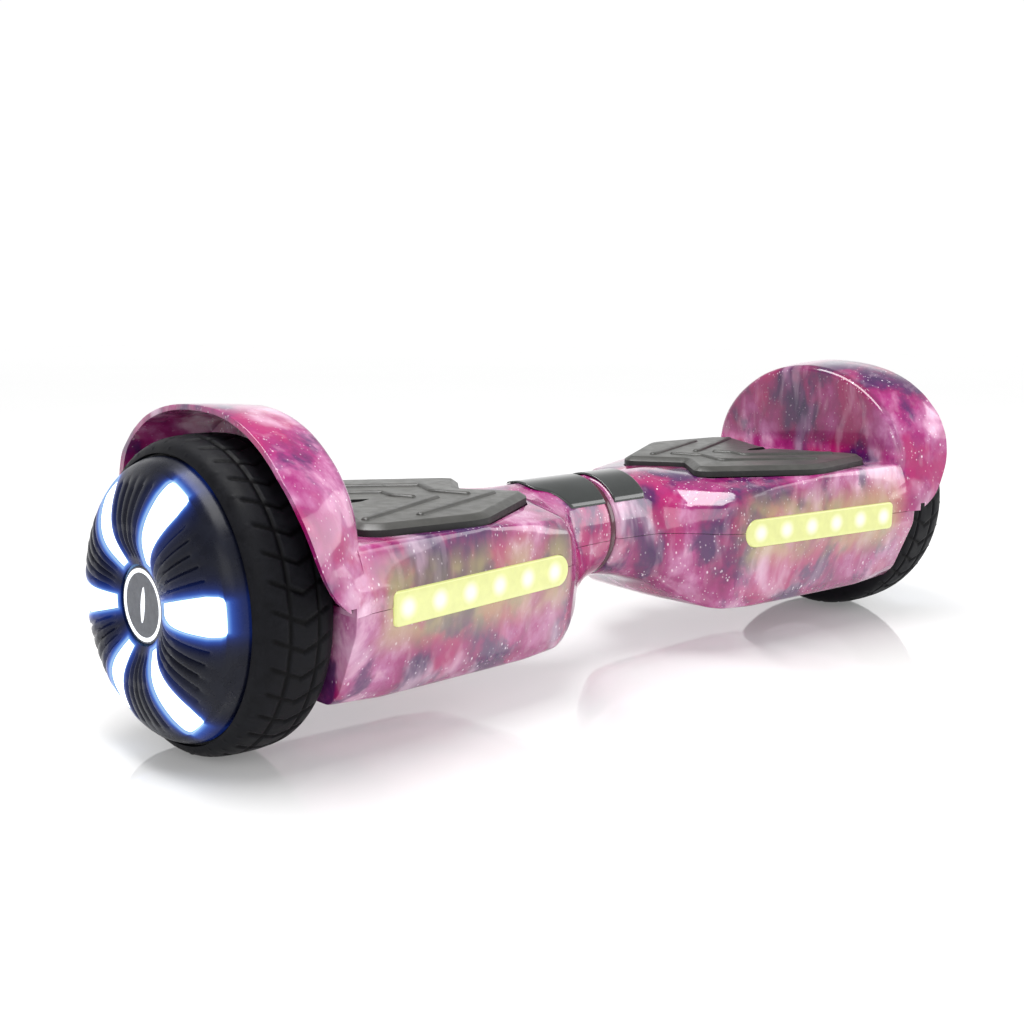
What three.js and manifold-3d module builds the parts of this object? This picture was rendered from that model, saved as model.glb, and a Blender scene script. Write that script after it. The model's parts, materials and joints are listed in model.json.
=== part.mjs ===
// Self-balancing two-wheel board: two tilting footboard halves on a hollow pivot tube,
// each carried by one hub-motor wheel. Millimetres, +Z up, X along the axle line,
// -Y is the front. Origin: on the floor, midway between the wheels.
import * as THREE from "three";
import { mergeVertices } from "three/addons/utils/BufferGeometryUtils.js";
import Module from "manifold-3d";

const wasm = await Module();
wasm.setup();

// ---------- driving dimensions ----------
const WHEEL_R = 82.5; // 6.5 inch wheel
const AXLE_Z = WHEEL_R;
const PIVOT_Z = 87; // centre of the pivot tube
const NECK_R = 32; // outside radius of the shells round the pivot
const SEAM_X = 2.5; // half the gap between the two halves
const DECK_Z = 115;
const SPLIT_Z = 83; // parting line of upper and lower shell
const WALL = 2.8;
const WALL_X = 228; // inboard face of the fender wall
const RIM_X = 268; // outboard rim of the fender
const END_X = 238; // outboard end of the lower shell
const FENDER_R = 97;
const FACE_TAPER = 0.12; // the front and rear faces close in towards the middle
const GAP = 0.3;
const LAMP_X0 = 78, LAMP_X1 = 214, LAMP_H = 18, LAMP_Z = 82;
const PAD_TRAVEL = 1.5;
const TUBE_R = 20, TUBE_BORE = 16;
const HUB_X = 304; // outboard face of the hub badge
const COVER_T = 2.4; // thickness of the wheel cover
const PAD_Z0 = 114.8, PAD_SIDE = 118.4, PAD_Z1 = 121.2, RIB_Z = 122.5; // pad underside, top of its upright side, flat top, rib tops

// ---------- helpers ----------
const V3 = THREE.Vector3;
function solid(geometry) {
  const g = geometry.clone();
  for (const k of Object.keys(g.attributes)) if (k !== "position") g.deleteAttribute(k);
  const m = mergeVertices(g, 1e-4);
  return new wasm.Manifold(
    new wasm.Mesh({ numProp: 3, vertProperties: m.attributes.position.array, triVerts: new Uint32Array(m.index.array) }),
  );
}
function geometryOf(s) {
  const m = s.getMesh();
  const g = new THREE.BufferGeometry();
  g.setAttribute("position", new THREE.BufferAttribute(new Float32Array(m.vertProperties), 3));
  g.setIndex(new THREE.BufferAttribute(new Uint32Array(m.triVerts), 1));
  return g;
}
const box = (x0, x1, y0, y1, z0, z1) =>
  solid(new THREE.BoxGeometry(x1 - x0, y1 - y0, z1 - z0).translate((x0 + x1) / 2, (y0 + y1) / 2, (z0 + z1) / 2));
// cylinder along X, Y or Z
function cyl(axis, r, a0, a1, p, q, seg = 24) {
  const g = new THREE.CylinderGeometry(r, r, a1 - a0, seg);
  const mid = (a0 + a1) / 2;
  if (axis === "x") g.rotateZ(-Math.PI / 2).translate(mid, p, q);
  if (axis === "y") g.translate(p, mid, q);
  if (axis === "z") g.rotateX(Math.PI / 2).translate(p, q, mid);
  return solid(g);
}
// turned about the X axis at height z: closed profile of [radius, x]
function turned(profile, z, seg = 24) {
  const pts = profile.map(([r, x]) => new THREE.Vector2(r, x));
  pts.push(pts[0].clone());
  const g = new THREE.LatheGeometry(pts, seg); // about Y
  g.rotateZ(-Math.PI / 2).translate(0, 0, z);
  const s = solid(g);
  if (s.volume() > 0) return s;
  const pts2 = pts.slice().reverse();
  return solid(new THREE.LatheGeometry(pts2, seg).rotateZ(-Math.PI / 2).translate(0, 0, z));
}
// plan outline [x, y] raised from z0 to z1
function prism(points, z0, z1) {
  const s = new THREE.Shape(points.map(([x, y]) => new THREE.Vector2(x, y)));
  return solid(new THREE.ExtrudeGeometry(s, { depth: z1 - z0, bevelEnabled: false }).translate(0, 0, z0));
}
// outline in X-Z pushed from y0 to y1
function prismY(points, y0, y1) {
  const s = new THREE.Shape(points.map(([x, z]) => new THREE.Vector2(x, z)));
  const g = new THREE.ExtrudeGeometry(s, { depth: y1 - y0, bevelEnabled: false });
  g.rotateX(Math.PI / 2).translate(0, y1, 0);
  return solid(g);
}
// skin over equal-length convex rings of points, closed by fans at both ends
function loft(rings) {
  const n = rings[0].length, pos = [], idx = [];
  for (const r of rings) for (const p of r) pos.push(...p);
  for (let i = 0; i + 1 < rings.length; i++)
    for (let j = 0; j < n; j++) {
      const a = i * n + j, b = i * n + ((j + 1) % n), c = a + n, d = b + n;
      idx.push(a, b, c, b, d, c);
    }
  for (const [k, flip] of [[0, true], [rings.length - 1, false]]) {
    const c = pos.length / 3, r = rings[k];
    pos.push(...[0, 1, 2].map((t) => r.reduce((s, p) => s + p[t], 0) / n));
    for (let j = 0; j < n; j++) {
      const a = k * n + j, b = k * n + ((j + 1) % n);
      flip ? idx.push(c, b, a) : idx.push(c, a, b);
    }
  }
  const g = new THREE.BufferGeometry();
  g.setAttribute("position", new THREE.BufferAttribute(new Float32Array(pos), 3));
  g.setIndex(idx);
  let s = solid(g);
  if (s.volume() < 0) {
    for (let i = 0; i < idx.length; i += 3) [idx[i + 1], idx[i + 2]] = [idx[i + 2], idx[i + 1]];
    g.setIndex(idx);
    s = solid(g);
  }
  return s;
}
// half outline [half width, z] from top centre to bottom centre -> full ring at x
const ring = (x, half) => [
  ...half.map(([y, z]) => [x, -y, z]),
  ...half.slice(1, -1).reverse().map(([y, z]) => [x, y, z]),
];
// the same from two half outlines: wide on the side k, plain on the other
const ring2 = (x, wide, plain, k) => [
  ...(k > 0 ? plain : wide).map(([y, z]) => [x, -y, z]),
  ...(k > 0 ? wide : plain).slice(1, -1).reverse().map(([y, z]) => [x, y, z]),
];
// the same ring moved inwards by t along its corner normals
function inset(pts, t) {
  const n = pts.length;
  return pts.map((p, i) => {
    const a = pts[(i + n - 1) % n], b = pts[(i + 1) % n];
    const e1 = new THREE.Vector2(p[1] - a[1], p[2] - a[2]).normalize();
    const e2 = new THREE.Vector2(b[1] - p[1], b[2] - p[2]).normalize();
    const n1 = new THREE.Vector2(-e1.y, e1.x), n2 = new THREE.Vector2(-e2.y, e2.x);
    const m = n1.clone().add(n2).normalize();
    const k = t / Math.max(0.35, m.dot(n1));
    return [p[0], p[1] + m.x * k, p[2] + m.y * k];
  });
}
const union = (...s) => s.reduce((a, b) => a.add(b));

const PINK = 0xb24a86, BLACK = 0x17181b;
const mats = {
  shell: new THREE.MeshStandardMaterial({ color: PINK, roughness: 0.18, metalness: 0.05 }),
  collar: new THREE.MeshStandardMaterial({ color: 0x8c1c4c, roughness: 0.25, metalness: 0.05 }),
  rubber: new THREE.MeshStandardMaterial({ color: 0x4a4944, roughness: 0.75, metalness: 0 }),
  tyre: new THREE.MeshStandardMaterial({ color: 0x121316, roughness: 0.7, metalness: 0 }),
  cover: new THREE.MeshStandardMaterial({ color: BLACK, roughness: 0.4, metalness: 0 }),
  gloss: new THREE.MeshStandardMaterial({ color: 0x1d2422, roughness: 0.1, metalness: 0 }),
  lamp: new THREE.MeshStandardMaterial({ color: 0xe6f08c, roughness: 0.3, metalness: 0 }),
  lampRed: new THREE.MeshStandardMaterial({ color: 0xd8281c, roughness: 0.3, metalness: 0 }),
  petal: new THREE.MeshStandardMaterial({ color: 0xf4f8ff, roughness: 0.3, metalness: 0 }),
  alu: new THREE.MeshStandardMaterial({ color: 0xb9bcc0, roughness: 0.45, metalness: 0.9 }),
  steel: new THREE.MeshStandardMaterial({ color: 0x9a9ca0, roughness: 0.3, metalness: 1 }),
  copper: new THREE.MeshStandardMaterial({ color: 0xa5622e, roughness: 0.4, metalness: 0.6 }),
  nylon: new THREE.MeshStandardMaterial({ color: 0xe8e4d8, roughness: 0.5, metalness: 0 }),
  board: new THREE.MeshStandardMaterial({ color: 0x1d6b3a, roughness: 0.5, metalness: 0 }),
  battery: new THREE.MeshStandardMaterial({ color: 0x2a5db0, roughness: 0.4, metalness: 0 }),
  cable: new THREE.MeshStandardMaterial({ color: 0x202020, roughness: 0.6, metalness: 0 }),
};

const root = new THREE.Group();
const right = new THREE.Group();
const left = new THREE.Group();
left.scale.x = -1; // the left half is modelled on +X and mirrored
root.add(left, right);
function put(group, name, s, material) {
  const mesh = new THREE.Mesh(geometryOf(s), material);
  mesh.name = name;
  group.add(mesh);
}
function both(name, s, material) {
  put(left, name + "_left", s, material);
  put(right, name + "_right", s, material);
}

// ---------- body shape: half outlines, top centre to bottom centre ----------
const neck = (a) => [NECK_R * Math.sin(a), PIVOT_Z + NECK_R * Math.cos(a)];
const N = (deg) => neck((deg * Math.PI) / 180);
const neckTop = [N(0), N(25), N(48), N(68), N(84)];
const STATIONS = [
  [SEAM_X, [...neckTop, N(100), N(122), N(148), N(180)]],
  [20, [...neckTop, [32.8, 80], [30.6, 66], [20, 56], [0, 53]]],
  [38, [...neckTop, [37.4, 78], [39, 60], [30.5, 49.6], [0, 47.4]]],
  [54, [N(0), N(25), [31, 107.5], [45, 99], [50, 90], [51, 76], [52, 50.5], [44, 38.8], [0, 37]]],
  [66, [[0, 118.2], [19, 115.2], [50, 108.6], [62.4, 99.5], [65, 90.5], [65, 74.5], [60.5, 45], [53.5, 33.5], [0, 32.4]]],
  [75, [[0, 117], [31, 115], [63, 109], [68.8, 102], [70, 91], [70, 73.8], [64, 41.5], [57.5, 31.8], [0, 30.6]]],
  [100, [[0, DECK_Z + 0.3], [47.5, DECK_Z], [70, 110.4], [72.4, 104.5], [73, 91], [73, 73.5], [66, 40], [59.5, 30], [0, 30]]],
  [145, [[0, DECK_Z], [77, DECK_Z], [78, 113.6], [78.2, 108], [78.4, 91], [78.4, 73.5], [69, 39.2], [61.5, 30], [0, 30]]],
  [205, [[0, DECK_Z], [78, DECK_Z], [80, 113.4], [82, 106], [85.6, 91], [85.6, 73.5], [72.6, 38.6], [64, 30], [0, 30]]],
  [END_X, [[0, DECK_Z], [78.6, DECK_Z], [80.8, 113], [84.6, 105], [89.6, 91], [88.4, 73.5], [74, 40.4], [65, 32.4], [0, 32.4]]],
];
const bodyOut = loft(STATIONS.map(([x, h]) => ring(x, h)));
function bodyIn(x1, topZ) {
  const rings = STATIONS.map(([x, h], i) => {
    let r = inset(ring(x, h), x > 30 && x < 80 ? WALL + 0.5 : WALL);
    r = r.map((p) => [p[0], p[1], x > 60 ? Math.min(p[2], topZ) : p[2]]);
    if (i === STATIONS.length - 1) r = r.map((p) => [x1, p[1], p[2]]);
    return r;
  });
  return loft([rings[0].map((p) => [-6, p[1], p[2]]), ...rings]); // runs straight out of the open neck
}

// ---------- fender ----------
const crease = [[0, 177.5], [14, 176.6], [28, 173.6], [42, 168.2], [54, 160.6], [65, 151.2], [73.6, 140], [78.6, 128.4], [80, 120], [79.6, 113.5], [84, 104], [88.8, 92], [88.8, SPLIT_Z], [0, SPLIT_Z]];
const rimAngles = [90, 81.5, 73, 64.5, 56, 47, 37.5, 28, 21, 16, 10.5, 4.5];
// the rim is fuller than a circle at both shoulders, and much fuller on one side (k): the two halves of the board
// carry the same fender turned half round, so that side is the rear of the left half and the front of the right
const SWELL = [0, 0.8, 2.6, 5, 7.4, 9, 9.6, 9, 7, 5, 2.5, 0.8];
const arc = (wide) => {
  const at = (d, i) => {
    const a = (d * Math.PI) / 180, r = FENDER_R + (wide ? SWELL[i] : 1.8 * Math.max(0, Math.sin(2 * a)));
    return [r * Math.cos(a), AXLE_Z + r * Math.sin(a)];
  };
  return [...rimAngles.map(at), [FENDER_R - 0.4, SPLIT_Z], [0, SPLIT_Z]];
};
const mixed = (k, wide) => crease.map((p, i) => [p[0] + (arc(wide)[i][0] - p[0]) * k, p[1] + (arc(wide)[i][1] - p[1]) * k]);
const lower = (h, z) => h.map(([y, zz]) => [y, Math.max(zz, z)]);
const tipCut = prismY([[272, 78], [240, 78], [240.6, 83.6], [247.5, 88.4], [253.4, 94], [257.6, 101], [261.4, 112], [264, 125], [266, 136], [RIM_X + 0.01, 152], [272, 152]], -130, 130);
function fender(k) {
  const outer = loft([ring(WALL_X, crease), ring2(246, mixed(0.62, true), mixed(0.62, false), k), ring2(RIM_X, arc(true), arc(false), k)]);
  const well = loft([
    inset(ring(WALL_X + WALL, lower(crease, 84)), WALL),
    inset(ring2(246, lower(mixed(0.62, true), 84), lower(mixed(0.62, false), 84), k), WALL),
    inset(ring2(RIM_X + 4, lower(arc(true), 84), lower(arc(false), 84), k), WALL),
  ]);
  const mouth = box(240, 290, -93, 93, 60, 88);
  return outer.subtract(well.subtract(box(WALL_X, 240, -120, 120, 60, 86)).add(mouth)).subtract(tipCut);
}

// ---------- foot pad outline (plan), pointing to the middle ----------
const padHalf = [[98, 0], [74, 30], [80, 38], [140, 73.5], [150, 75.2], [205, 67.5], [214, 60], [213, 50], [192, 8], [191, 0]];
const padOutline = [...padHalf.map(([x, y]) => [x, -y]), ...padHalf.slice(1, -1).reverse()];
function grown(poly, t) {
  const n = poly.length;
  let area = 0;
  for (let i = 0; i < n; i++) area += poly[i][0] * poly[(i + 1) % n][1] - poly[(i + 1) % n][0] * poly[i][1];
  const sgn = area > 0 ? 1 : -1;
  return poly.map((p, i) => {
    const a = poly[(i + n - 1) % n], b = poly[(i + 1) % n];
    const e1 = new THREE.Vector2(p[0] - a[0], p[1] - a[1]).normalize();
    const e2 = new THREE.Vector2(b[0] - p[0], b[1] - p[1]).normalize();
    const n1 = new THREE.Vector2(e1.y, -e1.x), n2 = new THREE.Vector2(e2.y, -e2.x);
    const m = n1.clone().add(n2).normalize();
    const k = (sgn * t) / Math.max(0.4, m.dot(n1));
    return [p[0] + m.x * k, p[1] + m.y * k];
  });
}
const POSTS = [[150, -42], [150, 42]];
// band of half width w along a line
const strip = (line, w) => {
  const side = (k) =>
    line.map((p, i) => {
      const a = line[Math.max(i - 1, 0)], b = line[Math.min(i + 1, line.length - 1)];
      const e1 = new THREE.Vector2(p[0] - a[0], p[1] - a[1]), e2 = new THREE.Vector2(b[0] - p[0], b[1] - p[1]);
      if (!e1.length()) e1.copy(e2);
      if (!e2.length()) e2.copy(e1);
      e1.normalize();
      e2.normalize();
      const m = new THREE.Vector2(-e1.y - e2.y, e1.x + e2.x).normalize(), c = Math.max(0.5, m.dot(new THREE.Vector2(-e1.y, e1.x)));
      return [p[0] + (k * w * m.x) / c, p[1] + (k * w * m.y) / c];
    });
  return [...side(1), ...side(-1).reverse()];
};
// Upright side, wide chamfer, flat top. Two straight ribs lie on one side of the centre line and two kinked ribs
// on the other; a recess runs in from the outboard notch. The two pads are the same part, turned half round (k = 1, -1).
function footPad(k) {
  const at = (z, t) => grown(padOutline, t).map(([x, y]) => [x, y, z]);
  let pad = loft([at(PAD_Z0, 0), at(PAD_SIDE, 0), at(PAD_Z1, -4.2)]);
  for (const line of [
    [[97, -27], [172, -56]],
    [[132, -19], [203, -50]],
    [[110, -20], [119, -1], [111, 20], [166, 55]],
    [[141, -9], [147, 1], [143, 13], [196, 46]],
  ])
    pad = pad.add(prism(strip(line.map(([x, y]) => [x, k * y]), 2.2), PAD_Z1 - 1, RIB_Z));
  pad = pad.subtract(prism([[163, 0], [172, -4.2], [196, -5], [196, 5], [172, 4.2]], PAD_Z1 - 2.6, PAD_Z1 + 4));
  for (const [x, y] of POSTS) pad = pad.add(cyl("z", 5, 103.4, PAD_Z0 + 1, x, y, 12));
  return pad;
}

// ---------- lamps: rounded bars in the front and rear faces ----------
const faceY = (x) => 73 + FACE_TAPER * (x - 100);
function lampBar(grow, y0, y1, side) {
  // outline in the face: x along the bar; built flat, turned to the face and moved on to it
  const L = LAMP_X1 - LAMP_X0, h = LAMP_H / 2, s = new THREE.Shape();
  const a = -L / 2 - grow, b = L / 2 + grow, t = h + grow, r1 = t * 0.98, r2 = 3 + grow;
  s.moveTo(a + r1, -t);
  s.lineTo(b - r2, -t);
  s.absarc(b - r2, -t + r2, r2, -Math.PI / 2, 0, false);
  s.lineTo(b, t - r2);
  s.absarc(b - r2, t - r2, r2, 0, Math.PI / 2, false);
  s.lineTo(a + r1, t);
  s.absarc(a + r1, 0, t, Math.PI / 2, (3 * Math.PI) / 2, false);
  const g = new THREE.ExtrudeGeometry(s, { depth: y1 - y0, bevelEnabled: false, curveSegments: 5 });
  // local z -> outward normal
  g.translate(0, 0, y0);
  g.rotateX(Math.PI / 2); // shape y -> z, extrusion -> -y
  const mid = (LAMP_X0 + LAMP_X1) / 2;
  g.rotateZ(-Math.atan(FACE_TAPER));
  g.translate(mid, -faceY(mid), LAMP_Z);
  if (side > 0) g.scale(1, -1, 1);
  let gg = g;
  if (side > 0) {
    gg = g.index ? g.toNonIndexed() : g;
    const p = gg.attributes.position.array;
    for (let i = 0; i < p.length; i += 9) for (let k = 0; k < 3; k++) [p[i + 3 + k], p[i + 6 + k]] = [p[i + 6 + k], p[i + 3 + k]];
  }
  return solid(gg);
}
const slot = (side) => lampBar(GAP, -8, 6, side);
const lens = (side) => lampBar(0, -2.2, 1, side);

// ---------- rear services on the right half ----------
const PORT = { x: 118, z: 57, y: 75.4 }, BUTTON = { x: 156, z: 57, y: 77.6 }; // y of each boss face

// ---------- shells ----------
const BIG = 400;
const upperSlab = box(-BIG, BIG, -BIG, BIG, SPLIT_Z, BIG);
const lowerSlab = box(-BIG, BIG, -BIG, BIG, -50, SPLIT_Z - GAP);
const axleHole = cyl("x", 15, 200, 260, 0, AXLE_Z, 24);
function upperShell(k) {
  let upper = bodyOut.intersect(upperSlab).intersect(box(0, WALL_X + WALL - 0.2, -BIG, BIG, 0, BIG));
  upper = upper.subtract(bodyIn(WALL_X, 110.4)).add(fender(k));
  upper = upper.subtract(prism(grown(padOutline, 0.7), DECK_Z - 2.2, DECK_Z + 8));
  for (const [x, y] of POSTS) upper = upper.subtract(cyl("z", 6, 100, 130, x, y, 12));
  return upper.subtract(axleHole).subtract(slot(-1)).subtract(slot(1));
}
let lowerShell = bodyOut.intersect(lowerSlab).subtract(bodyIn(END_X - WALL, 110.4));
lowerShell = lowerShell.subtract(axleHole).subtract(slot(-1)).subtract(slot(1));
const lowerRight = union(
  lowerShell,
  cyl("y", 15, 67, PORT.y, PORT.x, PORT.z, 20),
  cyl("y", 10.6, 69.5, BUTTON.y, BUTTON.x, BUTTON.z, 16),
  ...[-1, 1].map((k) => box(PORT.x + k * 5.6 - 1.4, PORT.x + k * 5.6 + 1.4, PORT.y - 6, PORT.y + 3.2, PORT.z + 11.6, PORT.z + 15.4)),
)
  .subtract(cyl("y", 11.4, 50, 90, PORT.x, PORT.z, 16))
  .subtract(cyl("y", 7.5, 50, 90, BUTTON.x, BUTTON.z, 16));
put(left, "upper_shell_left", upperShell(1), mats.shell);
put(right, "upper_shell_right", upperShell(-1), mats.shell);
put(left, "lower_shell_left", lowerShell, mats.shell);
put(right, "lower_shell_right", lowerRight, mats.shell);
put(left, "foot_pad_left", footPad(1), mats.rubber);
put(right, "foot_pad_right", footPad(-1), mats.rubber);
both("front_lamp_lens", lens(-1), mats.lamp);
both("rear_lamp_lens", lens(1), mats.lampRed);

// lamp boards: strip with six light chips close behind the front lens
{
  const mid = (LAMP_X0 + LAMP_X1) / 2;
  let g = solid(new THREE.BoxGeometry(126, 1.6, 11).translate(0, 4.4, 0));
  for (let i = 0; i < 6; i++) g = g.add(solid(new THREE.BoxGeometry(5, 1.4, 5).translate(-57.5 + 23 * i, 3.2, 0)));
  const geo = geometryOf(g).rotateZ(-Math.atan(FACE_TAPER)).translate(mid, -faceY(mid), LAMP_Z);
  both("lamp_board", solid(geo), mats.board);
}

// ---------- cap plates over the neck ----------
function capPlate(x1, plan) {
  const a0 = (36 * Math.PI) / 180, steps = 10, s = new THREE.Shape(), ro = NECK_R + 1.3, ri = NECK_R + 0.3;
  for (let i = 0; i <= steps; i++) {
    const a = a0 + ((Math.PI - 2 * a0) * i) / steps;
    i ? s.lineTo(ro * Math.cos(a), ro * Math.sin(a)) : s.moveTo(ro * Math.cos(a), ro * Math.sin(a));
  }
  for (let i = steps; i >= 0; i--) {
    const a = a0 + ((Math.PI - 2 * a0) * i) / steps;
    s.lineTo(ri * Math.cos(a), ri * Math.sin(a));
  }
  const g = new THREE.ExtrudeGeometry(s, { depth: x1 - 4, bevelEnabled: false });
  // shape x -> y, shape y -> z, extrusion -> x
  g.applyMatrix4(new THREE.Matrix4().makeBasis(new V3(0, 1, 0), new V3(0, 0, 1), new V3(1, 0, 0)));
  g.translate(4, 0, PIVOT_Z);
  return solid(g).intersect(prism(plan, 0, 200));
}
put(right, "neck_cap_right", capPlate(32, [[4, -29], [29, -29], [32, -25], [32, 25], [29, 29], [4, 29]]), mats.gloss);
put(left, "neck_cap_left", capPlate(52, [[4, -29], [31, -29], [42, -17], [50, -13], [52, -10], [52, 10], [50, 13], [42, 17], [31, 29], [4, 29]]), mats.gloss);

// ---------- chassis castings ----------
function chassis(bore) {
  const plan = [[46, -22], [64, -40], [84, -52], [226, -52], [226, 52], [84, 52], [64, 40], [46, 22]];
  let c = prism(plan, 72, 77);
  c = c.add(box(84, 226, -52, -47.5, 66, 90)).add(box(84, 226, 47.5, 52, 66, 90));
  c = c.add(box(186, 226, -30, 30, 66, AXLE_Z - 0.1)); // axle cradle
  c = c.add(cyl("x", 27.7, 5, 53, 0, PIVOT_Z, 24));
  c = c.add(prism([[40, -22], [60, -22], [84, -30], [84, 30], [60, 22], [40, 22]], 70, 77)); // neck web
  for (const y of [-22, 19]) c = c.add(prismY([[40, 74], [84, 74], [84, 79], [50, 98], [40, 98]], y, y + 3));
  for (const [x, y] of [[124, -33], [124, 33], [176, -33], [176, 33]]) c = c.add(cyl("z", 3.4, 76, 95.7, x, y, 8));
  c = c.subtract(cyl("x", bore, 0, 62, 0, PIVOT_Z, 24)).subtract(cyl("x", 25.6, 53, 62, 0, PIVOT_Z, 24));
  c = c.subtract(cyl("x", 8.3, 180, 230, 0, AXLE_Z, 16));
  c = c.subtract(cyl("z", 13, 60, 80, 106, 0, 12)); // cable pass
  return c;
}
put(left, "chassis_left", chassis(23.4), mats.alu);
put(right, "chassis_right", chassis(TUBE_R + GAP), mats.alu);
{
  let clamp = box(194, 222, -27, 27, AXLE_Z + 0.2, 95);
  clamp = clamp.subtract(cyl("x", 8.3, 180, 230, 0, AXLE_Z, 16));
  for (const y of [-18, 18]) clamp = clamp.subtract(cyl("z", 3.4, 80, 92, 208, y, 10)).subtract(cyl("z", 5.8, 91.9, 99, 208, y, 10));
  both("axle_clamp", clamp, mats.steel);
  for (const [tag, y] of [["front", -18], ["rear", 18]]) {
    const screw = cyl("z", 3, 82.9, 94, 208, y, 8).add(cyl("z", 5.2, 92.3, 97.5, 208, y, 12)).subtract(cyl("z", 2.6, 95, 99, 208, y, 6));
    both("clamp_screw_" + tag, screw, mats.steel);
  }
}

// ---------- pivot ----------
const tube = turned([[TUBE_BORE, -58], [TUBE_R, -58], [TUBE_R, -55.2], [18.4, -55.2], [18.4, -53], [TUBE_R, -53], [TUBE_R, 50], [TUBE_BORE, 50]], PIVOT_Z, 24);
put(right, "pivot_tube", tube, mats.steel);
put(left, "pivot_bush_inner", turned([[TUBE_R + 0.2, 2.6], [26.5, 2.6], [26.5, 4.7], [23.1, 4.7], [23.1, 20], [TUBE_R + 0.2, 20]], PIVOT_Z, 24), mats.nylon);
put(left, "pivot_bush_outer", turned([[TUBE_R + 0.2, 34], [23.1, 34], [23.1, 52.7], [TUBE_R + 0.2, 52.7]], PIVOT_Z, 24), mats.nylon);
put(left, "pivot_circlip", turned([[18.8, 53.3], [24.6, 53.3], [24.6, 54.9], [18.8, 54.9]], PIVOT_Z, 24).subtract(box(50, 58, -3, 3, 50, PIVOT_Z)), mats.steel);
put(right, "pivot_collar", turned([[TUBE_R + GAP, -2.2], [30.6, -2.2], [30.6, 2.2], [TUBE_R + GAP, 2.2]], PIVOT_Z, 28), mats.collar);

// ---------- boards, battery, wiring ----------
{
  let g = box(118, 182, -38, 38, 96, 97.6);
  for (const [x, y] of POSTS) g = g.add(box(x - 6, x + 6, y - 5 * Math.sign(y) - (y < 0 ? 1 : 11), y - 5 * Math.sign(y) + (y < 0 ? 11 : 1), 97.4, 101.6).intersect(box(118, 182, -46, 46, 90, 110)));
  both("gyro_board", g, mats.board);
}
let battery = box(88, 224, -33, 33, 35, 65);
for (let i = 0; i < 4; i++) battery = battery.subtract(box(108 + 28 * i, 110 + 28 * i, -40, 40, 63.8, 70));
put(left, "battery_pack", battery, mats.battery);
let mainBoard = box(90, 220, -40, 40, 40, 42).add(box(150, 162, 37, 39, 41.8, 62)).add(box(153, 159, 38.8, 61.6, 54, 60)); // with the power switch on a tongue
mainBoard = mainBoard.add(box(100, 118, -34, 34, 41.8, 58)).add(box(132, 140, -30, 30, 41.8, 52)).add(cyl("z", 7, 41.8, 64, 160, -20, 14)).add(cyl("z", 7, 41.8, 64, 160, 4, 14)).add(box(180, 206, -30, 22, 41.8, 51));
put(right, "main_board", mainBoard, mats.board);

function wire(points, r, seg, steps) {
  const curve = new THREE.CatmullRomCurve3(points.map((p) => new V3(...p)));
  const s = new THREE.Shape();
  for (let i = 0; i < seg; i++) {
    const a = (2 * Math.PI * i) / seg;
    i ? s.lineTo(r * Math.cos(a), r * Math.sin(a)) : s.moveTo(r, 0);
  }
  return solid(new THREE.ExtrudeGeometry(s, { extrudePath: curve, steps, bevelEnabled: false }));
}
// power and signal harness: straight along the pivot axis, then down to the main board
put(right, "pivot_harness", wire([[-66, 0, PIVOT_Z], [0, 0, PIVOT_Z], [58, 0, PIVOT_Z], [76, 0, PIVOT_Z - 3], [92, 0, 84], [103, 0, 78], [107, 0, 70], [107, 0, 60.5]], 5, 7, 18), mats.cable);
// three-phase leads of each hub motor: out of the axle end, over the plate
both("motor_cable", wire([[184.6, 0, AXLE_Z], [176, 0, 83.5], [164, 4, 84.5], [150, 12, 84], [136, 18, 83.4]], 3.4, 6, 10), mats.cable);

// ---------- wheels with hub motors ----------
const axle = cyl("x", 8, 185, 282, 0, AXLE_Z, 16);
both("axle", axle, mats.steel);
const tyreProfile = [[67, 244.6], [67, 285], [73.9, 285.2], [74.2, 288], [78.6, 285.6], [81.6, 279.5], [82.5, 270], [82.5, 256], [81.2, 247.5], [77, 242.6], [71.5, 241.4]];
both("tyre", turned(tyreProfile, AXLE_Z, 36), mats.tyre);
both("hub_can", turned([[13.4, 276.8], [62.4, 276.8], [62.4, 245], [66.6, 245], [66.6, 284.4], [13.4, 284.4]], AXLE_Z, 24), mats.alu);
both("hub_end_plate", turned([[13.4, 243], [62, 243], [62, 246.6], [18, 246.6], [18, 250.4], [13.4, 250.4]], AXLE_Z, 24), mats.alu);
both("magnet_ring", turned([[58.9, 249.5], [62.1, 249.5], [62.1, 275.5], [58.9, 275.5]], AXLE_Z, 24), mats.steel);
both("bearing_inboard", turned([[8.3, 243], [13.1, 243], [13.1, 250.4], [8.3, 250.4]], AXLE_Z, 16), mats.steel);
both("bearing_outboard", turned([[8.3, 277], [13.1, 277], [13.1, 284.4], [8.3, 284.4]], AXLE_Z, 16), mats.steel);
{
  const s = new THREE.Shape(), teeth = 12;
  for (let i = 0; i < teeth; i++) {
    const a = (2 * Math.PI * i) / teeth, w = Math.PI / teeth;
    const P = (r, d) => [r * Math.cos(a + d), r * Math.sin(a + d)];
    const list = [P(34, -w * 0.45), P(53, -w * 0.34), P(54, -w * 0.84), P(57.6, -w * 0.82), P(57.6, w * 0.82), P(54, w * 0.84), P(53, w * 0.34), P(34, w * 0.45)];
    list.forEach(([x, y], k) => (i === 0 && k === 0 ? s.moveTo(x, y) : s.lineTo(x, y)));
  }
  const hole = new THREE.Path();
  for (let i = 0; i < 20; i++) {
    const a = (-2 * Math.PI * i) / 20;
    i ? hole.lineTo(8.3 * Math.cos(a), 8.3 * Math.sin(a)) : hole.moveTo(8.3, 0);
  }
  s.holes.push(hole);
  const g = new THREE.ExtrudeGeometry(s, { depth: 24, bevelEnabled: false });
  g.rotateY(Math.PI / 2).translate(252, 0, AXLE_Z);
  both("stator", solid(g), mats.copper);
}
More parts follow.
